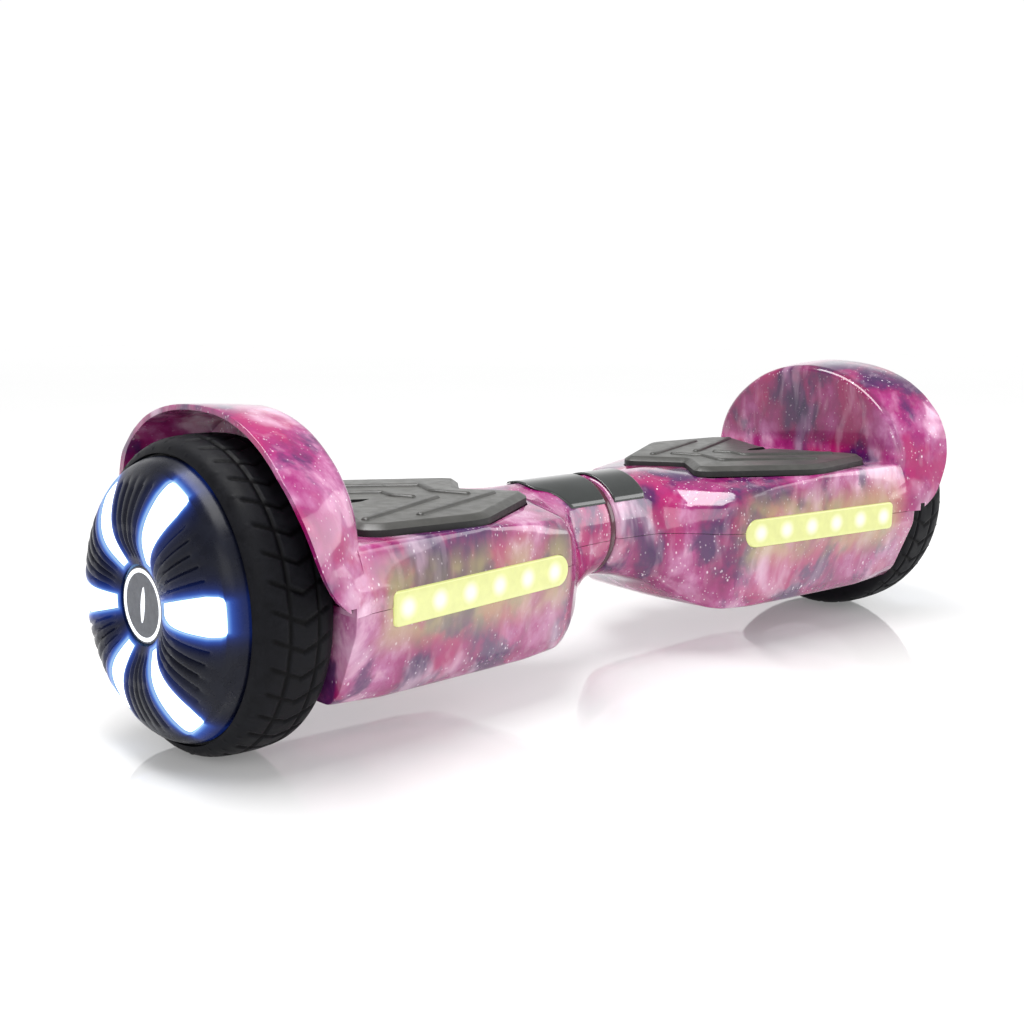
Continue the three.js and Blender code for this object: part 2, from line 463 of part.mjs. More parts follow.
// Bulging trim cover: it rises from its rim, stands furthest out half way in and dips again to the hub badge.
// Six light windows run out from the hub, and a milky diffuser fills them from behind.
const dome = [[72.8, 288.6], [70.4, 294.6], [66, 299.4], [60, 303.2], [53, 306.8], [45, 309.4], [37, 310], [29, 308], [20.6, 304.6]];
// the same profile moved in by t, square to the surface
const domeIn = (t, list) =>
  list.map(([r, x]) => {
    const i = dome.findIndex(([a, b]) => a === r && b === x), a = dome[Math.max(i - 1, 0)], b = dome[Math.min(i + 1, dome.length - 1)];
    const e = new THREE.Vector2(b[0] - a[0], b[1] - a[1]).normalize();
    return [r - e.y * t, x + e.x * t];
  });
const coverProfile = [[72.8, 285.7], ...dome, [20.6, 301.8], ...domeIn(COVER_T, dome.slice(1, -1)).reverse(), [70.2, 288.6], [69.8, 285.7]];
let cover = turned(coverProfile, AXLE_Z, 36);
const petal = (grow) => {
  const rs = [22.6, 30, 40, 50, 60, 66], hw = [3.6, 5, 6.8, 8.6, 10.2, 10];
  const a = [], b = [];
  rs.forEach((r, i) => {
    const rr = i === 0 ? r - grow : r, d = Math.atan((hw[i] + grow) / rr);
    a.push([rr, d]);
    b.push([rr, -d]);
  });
  a.push([68.2 + grow, 0.105]);
  b.push([68.2 + grow, -0.105]);
  return [...b, ...a.reverse()];
};
function petals(grow) {
  let all = null;
  for (let k = 0; k < 6; k++) {
    const t0 = (k * Math.PI) / 3 - 0.08;
    const s = new THREE.Shape(petal(grow).map(([r, t]) => new THREE.Vector2(r * Math.cos(t + t0), r * Math.sin(t + t0))));
    const g = new THREE.ExtrudeGeometry(s, { depth: 30, bevelEnabled: false });
    // shape x -> y, shape y -> z, extrusion -> x
    g.applyMatrix4(new THREE.Matrix4().makeBasis(new V3(0, 1, 0), new V3(0, 0, 1), new V3(1, 0, 0)));
    g.translate(286.6, 0, AXLE_Z);
    const one = solid(g);
    all = all ? all.add(one) : one;
  }
  return all;
}
cover = cover.subtract(petals(0.3));
both("wheel_cover", cover, mats.cover);
const mid = dome.slice(1, -1), glow0 = COVER_T + 0.4, glow1 = glow0 + 1.5;
const backProfile = [[67.6, 285.2], ...domeIn(glow0, mid), [20.2, 301.2], [20.2, 299.6], ...domeIn(glow1, mid).reverse(), [66, 285.2]];
const skin = turned([...domeIn(0.7, mid), [20.6, 303.9], [20.6, 301], ...domeIn(glow0 + 0.7, mid).reverse()], AXLE_Z, 36);
const diffuser = turned(backProfile, AXLE_Z, 30).add(petals(0).intersect(skin));
both("wheel_light", diffuser, mats.petal);
both("hub_badge", turned([[0, 299], [19.8, 299], [19.8, 303.2], [18.6, HUB_X], [0, HUB_X]], AXLE_Z, 30), mats.cover);

// ---------- charging socket, its flap, and the power button ----------
{
  const { x, y, z } = PORT;
  let s = cyl("y", 11, y - 15, y - 0.4, x, z, 16).subtract(cyl("y", 6.6, y - 10, y + 5, x, z, 16));
  s = s.add(cyl("y", 7.6, y - 21, y - 14, x, z, 12));
  for (const [dx, dz] of [[0, 3.2], [-2.8, -1.8], [2.8, -1.8]]) s = s.add(cyl("y", 0.9, y - 10.5, y - 6.6, x + dx, z + dz, 6));
  put(right, "charge_socket", s, mats.cover);
  // rubber flap, hinged along its top edge between two ears of the shell
  let f = union(
    cyl("y", 12, y + GAP, y + 2.5, x, z, 20),
    box(x - 3.4, x + 3.4, y + GAP, y + 2.3, z + 8, z + 13.2),
    cyl("x", 1.2, x - 3.8, x + 3.8, y + 1.6, z + 13.5, 8),
    box(x - 3, x + 3, y + GAP, y + 3.6, z - 14, z - 10),
  );
  put(right, "charge_flap", f, mats.rubber);
}
{
  const { x, y, z } = BUTTON;
  const b = cyl("y", 7, 63.4, y + 1.4, x, z, 16).add(cyl("y", 8.6, 63.4, 66, x, z, 16));
  put(right, "power_button", b, mats.gloss);
}

export default root;
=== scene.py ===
import math
import json
import bmesh
import bpy
import numpy as np
from mathutils import Matrix, Vector


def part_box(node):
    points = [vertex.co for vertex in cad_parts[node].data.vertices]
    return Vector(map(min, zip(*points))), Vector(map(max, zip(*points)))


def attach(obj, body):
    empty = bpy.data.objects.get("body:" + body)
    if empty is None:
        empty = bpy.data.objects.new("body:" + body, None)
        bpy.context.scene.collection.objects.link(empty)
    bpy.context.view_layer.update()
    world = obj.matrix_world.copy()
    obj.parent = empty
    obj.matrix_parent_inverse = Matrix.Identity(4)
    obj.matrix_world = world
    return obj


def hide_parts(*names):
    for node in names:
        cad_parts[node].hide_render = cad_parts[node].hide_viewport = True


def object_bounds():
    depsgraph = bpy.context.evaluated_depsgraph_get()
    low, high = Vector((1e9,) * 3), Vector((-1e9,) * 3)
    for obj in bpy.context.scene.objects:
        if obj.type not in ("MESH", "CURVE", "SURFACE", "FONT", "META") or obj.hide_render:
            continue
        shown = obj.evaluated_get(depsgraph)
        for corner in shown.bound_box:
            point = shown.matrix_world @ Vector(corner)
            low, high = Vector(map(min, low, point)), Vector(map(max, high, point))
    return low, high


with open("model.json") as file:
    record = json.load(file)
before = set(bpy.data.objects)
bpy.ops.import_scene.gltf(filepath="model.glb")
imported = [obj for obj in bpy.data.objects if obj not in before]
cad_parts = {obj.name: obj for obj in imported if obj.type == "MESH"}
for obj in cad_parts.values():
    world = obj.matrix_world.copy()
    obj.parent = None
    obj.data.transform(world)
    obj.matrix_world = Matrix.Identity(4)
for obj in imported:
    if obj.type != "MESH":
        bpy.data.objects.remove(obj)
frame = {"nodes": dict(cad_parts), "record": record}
CAD_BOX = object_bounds()
S = 0.001

# ------------------------------------------------------------------ dimensions read from the frame (mm)
def bx(n):
    lo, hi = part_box(n)
    return [v * 1000 for v in lo], [v * 1000 for v in hi]

_lo, _hi = bx("tyre_right")
WHEEL_R = (_hi[2] - _lo[2]) / 2
AXLE_Z = (_hi[2] + _lo[2]) / 2
TY_IN, TY_OUT = _lo[0], _hi[0]
_lo, _hi = bx("hub_badge_right")
HUB_X = _hi[0]
COVER_X = bx("wheel_cover_right")[1][0]
_lo, _hi = bx("pivot_tube")
PIVOT_Z = (_hi[2] + _lo[2]) / 2
_lo, _hi = bx("upper_shell_right")
SEAM_X, RIM_X, TOP_Z = _lo[0], _hi[0], _hi[2]
_lo, _hi = bx("lower_shell_right")
END_X = _hi[0]
_lo, _hi = bx("foot_pad_right")
PAD_TOP = _hi[2]
FENDER_R = TOP_Z - AXLE_Z
NECK_R = 32.0
DECK_Z = 115.0
SPLIT_Z = 83.0
WALL_X = 228.0
WALL = 2.8
GAP = 0.3
TAPER = 0.12
LAMP_X0, LAMP_X1, LAMP_H, LAMP_Z = 78.0, 214.0, 18.0, 82.0
PAD_Z0, PAD_SIDE, PAD_FLAT = 114.8, 118.4, 121.2


# ------------------------------------------------------------------ mesh tools
def new_object(name, verts, faces, smooth=True, angle=None):
    me = bpy.data.meshes.new(name)
    me.from_pydata([tuple(float(c) * S for c in v) for v in verts], [], faces)
    me.validate()
    bm = bmesh.new()
    bm.from_mesh(me)
    bmesh.ops.recalc_face_normals(bm, faces=bm.faces)
    bm.to_mesh(me)
    bm.free()
    o = bpy.data.objects.new(name, me)
    bpy.context.scene.collection.objects.link(o)
    if smooth:
        smooth_by(o, angle)
    return o


def smooth_by(o, angle):
    me = o.data
    me.polygons.foreach_set("use_smooth", [True] * len(me.polygons))
    if angle is None:
        return
    bm = bmesh.new()
    bm.from_mesh(me)
    lim = math.radians(angle)
    for e in bm.edges:
        if len(e.link_faces) == 2:
            e.smooth = e.calc_face_angle(0.0) < lim
        else:
            e.smooth = False
    bm.to_mesh(me)
    bm.free()


def mirrored(o, name):
    me = o.data.copy()
    me.transform(Matrix.Scale(-1, 4, (1, 0, 0)))
    me.flip_normals()
    c = bpy.data.objects.new(name, me)
    bpy.context.scene.collection.objects.link(c)
    return c


def apply_all(o):
    dg = bpy.context.evaluated_depsgraph_get()
    me = bpy.data.meshes.new_from_object(o.evaluated_get(dg))
    o.modifiers.clear()
    o.data = me
    return o


def boolean(o, other, op, keep=False):
    m = o.modifiers.new("b", "BOOLEAN")
    m.operation = op
    m.object = other
    m.solver = "MANIFOLD"
    bpy.context.view_layer.update()
    apply_all(o)
    o.data.materials.clear()
    if not keep:
        bpy.data.objects.remove(other)
    return o


def cleaned(o, dist=0.02, flat=None):
    bm = bmesh.new()
    bm.from_mesh(o.data)
    bmesh.ops.remove_doubles(bm, verts=bm.verts, dist=dist * S)
    bmesh.ops.dissolve_degenerate(bm, edges=bm.edges, dist=dist * S * 0.5)
    if flat:
        bmesh.ops.dissolve_limit(bm, angle_limit=math.radians(flat), verts=bm.verts, edges=bm.edges)
    bm.to_mesh(o.data)
    bm.free()
    return o


def joined(name, parts):
    """one object out of several, materials kept by slot name"""
    bm = bmesh.new()
    mats = []
    for p in parts:
        me = p.data.copy()
        me.transform(p.matrix_world)
        index = []
        for m in p.data.materials:
            if m not in mats:
                mats.append(m)
            index.append(mats.index(m))
        if index:
            for poly in me.polygons:
                poly.material_index = index[min(poly.material_index, len(index) - 1)]
        bm.from_mesh(me)
        bpy.data.meshes.remove(me)
    me = bpy.data.meshes.new(name)
    bm.to_mesh(me)
    bm.free()
    for m in mats:
        me.materials.append(m)
    for p in parts:
        bpy.data.objects.remove(p)
    o = bpy.data.objects.new(name, me)
    bpy.context.scene.collection.objects.link(o)
    return o


def box(x0, x1, y0, y1, z0, z1, name="cut"):
    v = [(x, y, z) for x in (x0, x1) for y in (y0, y1) for z in (z0, z1)]
    f = [(0, 1, 3, 2), (4, 6, 7, 5), (0, 4, 5, 1), (2, 3, 7, 6), (0, 2, 6, 4), (1, 5, 7, 3)]
    return new_object(name, v, f, smooth=False)


def prism(points, lo, hi, axis="z", name="cut"):
    n = len(points)
    def at(p, h):
        return {"z": (p[0], p[1], h), "y": (p[0], h, p[1]), "x": (h, p[0], p[1])}[axis]
    v = [at(p, lo) for p in points] + [at(p, hi) for p in points]
    f = [tuple(range(n)), tuple(range(2 * n - 1, n - 1, -1))]
    f += [(i, (i + 1) % n, n + (i + 1) % n, n + i) for i in range(n)]
    return new_object(name, v, f, smooth=False)


def cyl(axis, r, a0, a1, p, q, seg=48, name="cut"):
    pts = [(p + r * math.cos(2 * math.pi * i / seg), q + r * math.sin(2 * math.pi * i / seg)) for i in range(seg)]
    return prism(pts, a0, a1, axis, name)


def soften(P, d, k=4):
    """rounds the inner corners of a polyline: each becomes a k-step curve that starts d before it and ends d after it"""
    P = np.asarray(P, float)
    out = [P[0]]
    n = len(P)
    for i in range(1, n - 1):
        a, p, b = P[i - 1], P[i], P[i + 1]
        la, lb = np.linalg.norm(p - a), np.linalg.norm(b - p)
        da = min(d[i], 0.499 * la)
        db = min(d[i], 0.499 * lb)
        s = p + (a - p) * (da / la if la > 1e-9 else 0)
        e = p + (b - p) * (db / lb if lb > 1e-9 else 0)
        for t in np.linspace(0, 1, k + 1):
            out.append((1 - t) ** 2 * s + 2 * t * (1 - t) * p + t * t * e)
    out.append(P[-1])
    return np.array(out)


def grid_faces(rows, cols, closed=True):
    f = []
    for i in range(rows - 1):
        for j in range(cols if closed else cols - 1):
            a, b = i * cols + j, i * cols + (j + 1) % cols
            f.append((a, b, b + cols, a + cols))
    return f


def capped_loft(name, rings, angle=None, smooth=True, center=None):
    """rings: equal-length closed rings. Both ends are closed by one flat face, and a repeated ring is dropped."""
    keep = [rings[0]]
    for r in rings[1:]:
        if np.abs(np.array(r) - np.array(keep[-1])).max() > 1e-4:
            keep.append(r)
    rings = keep
    n = len(rings[0])
    v = [p for r in rings for p in r]
    f = grid_faces(len(rings), n)
    if center is not None:  # a plan outline with notches: closed by fans about a point that sees all of it
        for i in (0, len(rings) - 1):
            v.append((center[0], center[1], rings[i][0][2]))
            f += [(i * n + j, i * n + (j + 1) % n, len(v) - 1) for j in range(n)]
        return new_object(name, v, f, smooth, angle)
    f.append(tuple(range(n)))
    f.append(tuple(range(len(v) - 1, len(v) - n - 1, -1)))
    return new_object(name, v, f, smooth, angle)


# ------------------------------------------------------------------ body of a half
def N(deg, r=NECK_R):
    a = math.radians(deg)
    return [r * math.sin(a), PIVOT_Z + r * math.cos(a)]

Rn = NECK_R * 1.022
NT = [N(0, NECK_R), N(25, Rn), N(48, Rn), N(68, Rn), N(86, Rn)]
# half outlines, top centre to bottom centre, and the rounding at each corner
ST = [
    (SEAM_X, NT + [N(104, Rn), N(126, Rn), N(152, Rn), N(180, NECK_R)], [0, 9, 9, 9, 9, 9, 9, 9, 0]),
    (20, NT + [[32.8, 80], [30.6, 66], [20, 56], [0, 53]], [0, 9, 9, 9, 9, 9, 9, 9, 0]),
    (38, NT + [[37.6, 78], [39.2, 60], [30.6, 49.4], [0, 47.2]], [0, 9, 9, 9, 9, 8, 8, 8, 0]),
    (54, [[0, 119], [14, 116.2], [31, 107.8], [45, 99.4], [50, 90], [51.4, 76], [52.4, 50.5], [44, 38.6], [0, 37]], [0, 8, 5, 3.6, 3, 3, 3, 3, 0]),
    (66, [[0, 118.2], [19, 115.2], [50, 108.6], [62.4, 99.5], [65, 90.5], [65, 74.5], [60.5, 45], [53.5, 33.5], [0, 32.4]], [0, 8, 4, 4, 3, 3, 4, 4, 0]),
    (75, [[0, 117], [31, 115], [63, 109], [68.8, 102], [70, 91], [70, 73.8], [64, 41.5], [57.5, 31.8], [0, 30.6]], [0, 8, 3, 3, 2, 3, 4, 4, 0]),
    (100, [[0, 115.3], [47.5, 115], [70, 110.4], [72.4, 104.5], [73, 91], [73, 73.5], [66, 40], [59.5, 30], [0, 30]], [0, 8, 2.4, 2.4, 1.6, 3, 4, 4, 0]),
    (145, [[0, 115], [77, 115], [78, 113.6], [78.2, 108], [78.4, 91], [78.4, 73.5], [69, 39.2], [61.5, 30], [0, 30]], [0, 2.2, 2.2, 2, 1.6, 3, 4, 4, 0]),
    (205, [[0, 115], [78, 115], [80, 113.4], [82, 106], [85.6, 91], [85.6, 73.5], [72.6, 38.6], [64, 30], [0, 30]], [0, 2.2, 2.2, 2, 1.6, 3, 4, 4, 0]),
    (END_X, [[0, 115], [78.6, 115], [80.8, 113], [84.6, 105], [89.6, 91], [88.4, 73.5], [74, 40.4], [65, 32.4], [0, 32.4]], [0, 2.2, 2.2, 2, 1.6, 3, 4, 4, 0]),
]
XROUND = [0, 8, 5, 2.6, 2.6, 2.4, 5, 6, 0, 0]


def body_grid(inset=0.0, x_end=None, top=None):
    rows = []
    for x, h, d in ST:
        pts = soften([[x, y, z] for y, z in h], d)
        if inset:
            pts = inset_row(pts, inset)
            if top is not None and x > 60:
                pts[:, 2] = np.minimum(pts[:, 2], top)
        rows.append(pts)
    G = np.array(rows)  # station, sample, xyz
    if inset:
        G[0, :, 0] = -6.0
        G[-1, :, 0] = x_end
    cols = [soften(G[:, j], XROUND, 3) for j in range(G.shape[1])]
    return np.array(cols).transpose(1, 0, 2)


def inset_row(p, t):
    """a half outline (top centre, over +y, bottom centre) moved inwards by t, which may be one value per point"""
    q = np.vstack([[p[1] * [1, -1, 1]], p, [p[-2] * [1, -1, 1]]])
    t = np.broadcast_to(np.asarray(t, float), (len(p),))
    out = p.copy()
    for i in range(len(p)):
        e1, e2 = q[i + 1] - q[i], q[i + 2] - q[i + 1]
        if np.hypot(e1[1], e1[2]) < 1e-6:
            e1 = e2
        if np.hypot(e2[1], e2[2]) < 1e-6:
            e2 = e1
        n1, n2 = np.array([-e1[2], e1[1]]), np.array([-e2[2], e2[1]])
        n1, n2 = n1 / np.hypot(*n1), n2 / np.hypot(*n2)
        m = (n1 + n2) / np.hypot(*(n1 + n2))
        out[i, 1:] = p[i, 1:] - m * t[i] / max(0.5, float(m @ n1))
    out[:, 1] = np.maximum(out[:, 1], 0.0)
    out[0, 1] = out[-1, 1] = 0.0
    return out


def full_ring(row):
    return [(x, -y, z) for x, y, z in row] + [(x, y, z) for x, y, z in row[1:-1][::-1]]


def body_outer():
    G = body_grid()
    def at(row, x, t):
        r = inset_row(row, t) if t else row.copy()
        r[:, 0] = x
        return r
    rows = [at(G[0], SEAM_X, 2.1), at(G[0], SEAM_X + 0.5, 1.3), at(G[0], SEAM_X + 1.2, 0.6), at(G[0], SEAM_X + 2.0, 0.15), at(G[0], SEAM_X + 2.8, 0)]
    rows += [r for r in G[1:-1]]
    rows += [at(G[-1], END_X - 1.3, 0), at(G[-1], END_X - 0.35, 0.35), at(G[-1], END_X, 1.3)]
    return capped_loft("outer", [full_ring(r) for r in rows], smooth=False)


def body_inner(x_end):
    rows = []
    for i, (x, h, d) in enumerate(ST):
        p = np.array([[x, y, z] for y, z in h], float)
        p = inset_row(p, WALL + (0.5 if 30 < x < 80 else 0))
        if x > 60:
            p[:, 2] = np.minimum(p[:, 2], 110.4)
        if i == 0:
            rows.append(p * [0, 1, 1] + [-6, 0, 0])
        if i == len(ST) - 1:
            p[:, 0] = x_end
        rows.append(p)
    return capped_loft("inner", [full_ring(r) for r in rows], smooth=False)


# ------------------------------------------------------------------ fender
CREASE = [[0, 177.5], [14, 176.6], [28, 173.6], [42, 168.2], [54, 160.6], [65, 151.2], [73.6, 140], [78.6, 128.4], [80, 120], [79.6, 113.5], [84, 104], [88.8, 92], [88.8, 74], [0, 74]]
RIM_ANGLES = [90, 81.5, 73, 64.5, 56, 47, 37.5, 28, 21, 16, 10.5, 4.5]


SWELL = [0, 0.8, 2.6, 5, 7.4, 9, 9.6, 9, 7, 5, 2.5, 0.8]  # the wide side of the fender, over a circle


def rim_half(wide):
    out = []
    for d, w in zip(RIM_ANGLES, SWELL):
        a = math.radians(d)
        r = FENDER_R + (w if wide else 1.8 * max(0.0, math.sin(2 * a)))
        out.append([r * math.cos(a), AXLE_Z + r * math.sin(a)])
    return out + [[FENDER_R - 0.4, 74], [0, 74]]


def fender_halves(wide):
    d = [0, 6, 6, 6, 6, 6, 6, 5, 3.2, 3, 4, 4, 2, 0]
    def half(pts):
        return soften([[0, y, z] for y, z in pts], d, 3)
    c, r = np.array(CREASE, float), np.array(rim_half(wide), float)
    return half(c), half(c * 0.38 + r * 0.62), half(r)


def ring_of_two(plus, minus):
    """a full ring from the half outline of the +Y side and that of the -Y side"""
    return [(x, -y, z) for x, y, z in minus] + [(x, y, z) for x, y, z in plus[1:-1][::-1]]


def fender_rows(wide):
    c, m, r = fender_halves(wide)
    z = c[:, 2]
    R = 1.6 + 3.6 * np.clip((z - 108) / 14, 0, 1)  # rounding of the edge round the wall, smaller where it meets the body
    rows = []
    for k in range(6):
        a = math.pi / 2 * k / 6
        row = inset_row(c, R * (1 - math.sin(a)))
        row[:, 0] = WALL_X + R * (1 - math.cos(a))
        rows.append(row)
    cols = []
    for j in range(len(c)):
        path = [[WALL_X + R[j], *c[j, 1:]], [246, *m[j, 1:]], [RIM_X - 0.9, *r[j, 1:]]]
        cols.append(soften(path, [0, 9, 0], 8))
    rows += list(np.array(cols).transpose(1, 0, 2))
    for x, t in ((RIM_X - 0.3, 0.2), (RIM_X, 0.8)):
        row = inset_row(r, t)
        row[:, 0] = x
        rows.append(row)
    return rows


def well_rows(wide):
    c, m, r = fender_halves(wide)
    rows = []
    for x, half in ((WALL_X + WALL, c), (WALL_X + WALL + 6, c * 0.6 + m * 0.4), (246, m), (257, m * 0.45 + r * 0.55), (RIM_X + 4, r)):
        row = inset_row(half, WALL)
        row[:, 0] = x
        row[:, 2] = np.maximum(row[:, 2], SPLIT_Z + 3)
        rows.append(row)
    return rows


def two_sided(name, rows, k):
    wide, plain = rows(True), rows(False)
    return capped_loft(name, [ring_of_two(a, b) if k > 0 else ring_of_two(b, a) for a, b in zip(wide, plain)], smooth=False)


# ------------------------------------------------------------------ lamp bars
def lamp_outline(grow):
    L, h = LAMP_X1 - LAMP_X0, LAMP_H / 2
    a, b, t = -L / 2 - grow, L / 2 + grow, h + grow
    r1, r2 = t * 0.98, 3 + grow
    pts = []
    def fan(cx, cy, r, a0, a1, n):
        for k in range(n + 1):
            q = math.radians(a0 + (a1 - a0) * k / n)
            pts.append([cx + r * math.cos(q), cy + r * math.sin(q)])
    fan(b - r2, -t + r2, r2, -90, 0, 5)
    fan(b - r2, t - r2, r2, 0, 90, 5)
    fan(a + r1, 0, r1, 90, 270, 16)
    return np.array(pts)


def face_y(x):
    return 73 + TAPER * (x - 100)


def bar_point(u, w, n, side):
    """u along the bar, w up, n out of the face"""
    mid = (LAMP_X0 + LAMP_X1) / 2
    a = math.atan(TAPER)
    return (mid + u * math.cos(a) + n * -math.sin(a), side * (face_y(mid) + u * math.sin(a) + n * math.cos(a)), LAMP_Z + w)


def inset_loop(P, t):
    """closed counter-clockwise outline moved inwards by t"""
    P = np.asarray(P, float)
    out = []
    n = len(P)
    for i in range(n):
        e1, e2 = P[i] - P[i - 1], P[(i + 1) % n] - P[i]
        n1, n2 = np.array([-e1[1], e1[0]]) / max(1e-9, np.hypot(*e1)), np.array([-e2[1], e2[0]]) / max(1e-9, np.hypot(*e2))
        m = n1 + n2
        m /= max(1e-9, np.hypot(*m))
        out.append(P[i] + m * t / max(0.4, float(m @ n1)))
    return np.array(out)


def lamp_slot(side):
    P = lamp_outline(GAP)
    return capped_loft("slot", [[bar_point(u, w, n, side) for u, w in P] for n in (-8, 6)], smooth=False)


def lamp_lens(name, side):
    P = lamp_outline(0)
    rings = []
    for n, t in ((-2.2, 0.0), (0.0, 0.0), (0.45, 0.1), (0.8, 0.35), (0.95, 0.75), (1.0, 1.3), (1.0, 2.6)):
        rings.append([bar_point(u, w, n, side) for u, w in inset_loop(P, t)])
    return capped_loft(name, rings, angle=50)


# ------------------------------------------------------------------ plan outlines
PAD_HALF = [[98, 0], [74, 30], [80, 38], [140, 73.5], [150, 75.2], [205, 67.5], [214, 60], [213, 50], [192, 8], [191, 0]]


def rounded_loop(P, d, k=4):
    """closed outline with each corner rounded"""
    P = np.asarray(P, float)
    n = len(P)
    out = []
    for i in range(n):
        a, p, b = P[i - 1], P[i], P[(i + 1) % n]
        la, lb = np.linalg.norm(a - p), np.linalg.norm(b - p)
        r = d[i] if hasattr(d, "__len__") else d
        s, e = p + (a - p) * min(r / la, 0.49), p + (b - p) * min(r / lb, 0.49)
        for t in np.linspace(0, 1, k + 1):
            out.append((1 - t) ** 2 * s + 2 * t * (1 - t) * p + t * t * e)
    return np.array(out)


def ccw(P):
    P = np.asarray(P, float)
    x, y = P[:, 0], P[:, 1]
    return P if np.sum(x * np.roll(y, -1) - np.roll(x, -1) * y) > 0 else P[::-1]


def pad_loop(grow=0.0):
    P = [[x, -y] for x, y in PAD_HALF] + [[x, y] for x, y in PAD_HALF[1:-1][::-1]]
    d = [3, 4.8, 2.6, 4, 4, 4, 4, 2.5, 2.5, 2, 2.5, 2.5, 4, 4, 4, 4, 2.6, 4.8]
    return inset_loop(ccw(rounded_loop(P, d, 3)), -grow)


# ------------------------------------------------------------------ shells
UPPER_ANGLE = 32


def build_upper(k):
    o = body_outer()
    boolean(o, box(-20, 300, -200, 200, -20, SPLIT_Z), "DIFFERENCE")
    boolean(o, box(WALL_X + WALL - 0.2, 300, -200, 200, -20, 200), "DIFFERENCE")
    boolean(o, body_inner(WALL_X), "DIFFERENCE")
    f = two_sided("fender", fender_rows, k)
    boolean(f, box(200, 300, -200, 200, -20, SPLIT_Z), "DIFFERENCE")
    w = two_sided("well", well_rows, k)
    boolean(f, w, "DIFFERENCE")
    boolean(f, box(240, 290, -93, 93, 60, 88), "DIFFERENCE")
    tip = [[240, 78], [240.6, 83.6], [247.5, 88.4], [253.4, 94], [257.6, 101], [261.4, 112], [264, 125], [266, 136], [RIM_X + 0.2, 152]]
    tip = soften([[x, 0, z] for x, z in tip], [0] + [4] * 7 + [0], 3)
    tip = [[276, 70], [240, 70]] + [[p[0], p[2]] for p in tip] + [[276, 152]]
    boolean(f, prism(tip, -130, 130, "y"), "DIFFERENCE")
    boolean(o, f, "UNION")
    boolean(o, capped_loft("cut", [[(x, y, z) for x, y in pad_loop(0.7)] for z in (DECK_Z - 2.2, DECK_Z + 10)], smooth=False, center=(150, 0)), "DIFFERENCE")
    for y in (-42, 42):
        boolean(o, cyl("z", 6, 100, 130, 150, y, 24), "DIFFERENCE")
    boolean(o, cyl("x", 15, 200, 260, 0, AXLE_Z, 32), "DIFFERENCE")
    for side in (-1, 1):
        boolean(o, lamp_slot(side), "DIFFERENCE")
    cleaned(o, 0.01)
    smooth_by(o, UPPER_ANGLE)
    return o


def build_lower():
    o = body_outer()
    boolean(o, box(-20, 300, -200, 200, SPLIT_Z - GAP, 250), "DIFFERENCE")
    boolean(o, body_inner(END_X - WALL), "DIFFERENCE")
    boolean(o, cyl("x", 15, 200, 260, 0, AXLE_Z, 32), "DIFFERENCE")
    for side in (-1, 1):
        boolean(o, lamp_slot(side), "DIFFERENCE")
    cleaned(o, 0.01)
    smooth_by(o, UPPER_ANGLE)
    return o


# ------------------------------------------------------------------ round parts about the axle
def smooth_profile(P, d, k=5):
    """closed or open profile of [radius, x] with its corners rounded"""
    q = soften([[r, x, 0] for r, x in P], d, k)
    return q[:, :2]


def resampled(P, step):
    P = np.asarray(P, float)
    L = np.r_[0, np.cumsum(np.linalg.norm(np.diff(P, axis=0), axis=1))]
    n = max(2, int(round(L[-1] / step)) + 1)
    t = np.linspace(0, L[-1], n)
    return np.stack([np.interp(t, L, P[:, 0]), np.interp(t, L, P[:, 1])], 1)


def normals_of(P):
    g = np.gradient(P, axis=0)
    n = np.stack([-g[:, 1], g[:, 0]], 1)
    return n / np.maximum(1e-9, np.linalg.norm(n, axis=1))[:, None]


def attribute(o, name, values):
    a = o.data.attributes.new(name, "FLOAT", "POINT")
    a.data.foreach_set("value", np.asarray(values, np.float32))


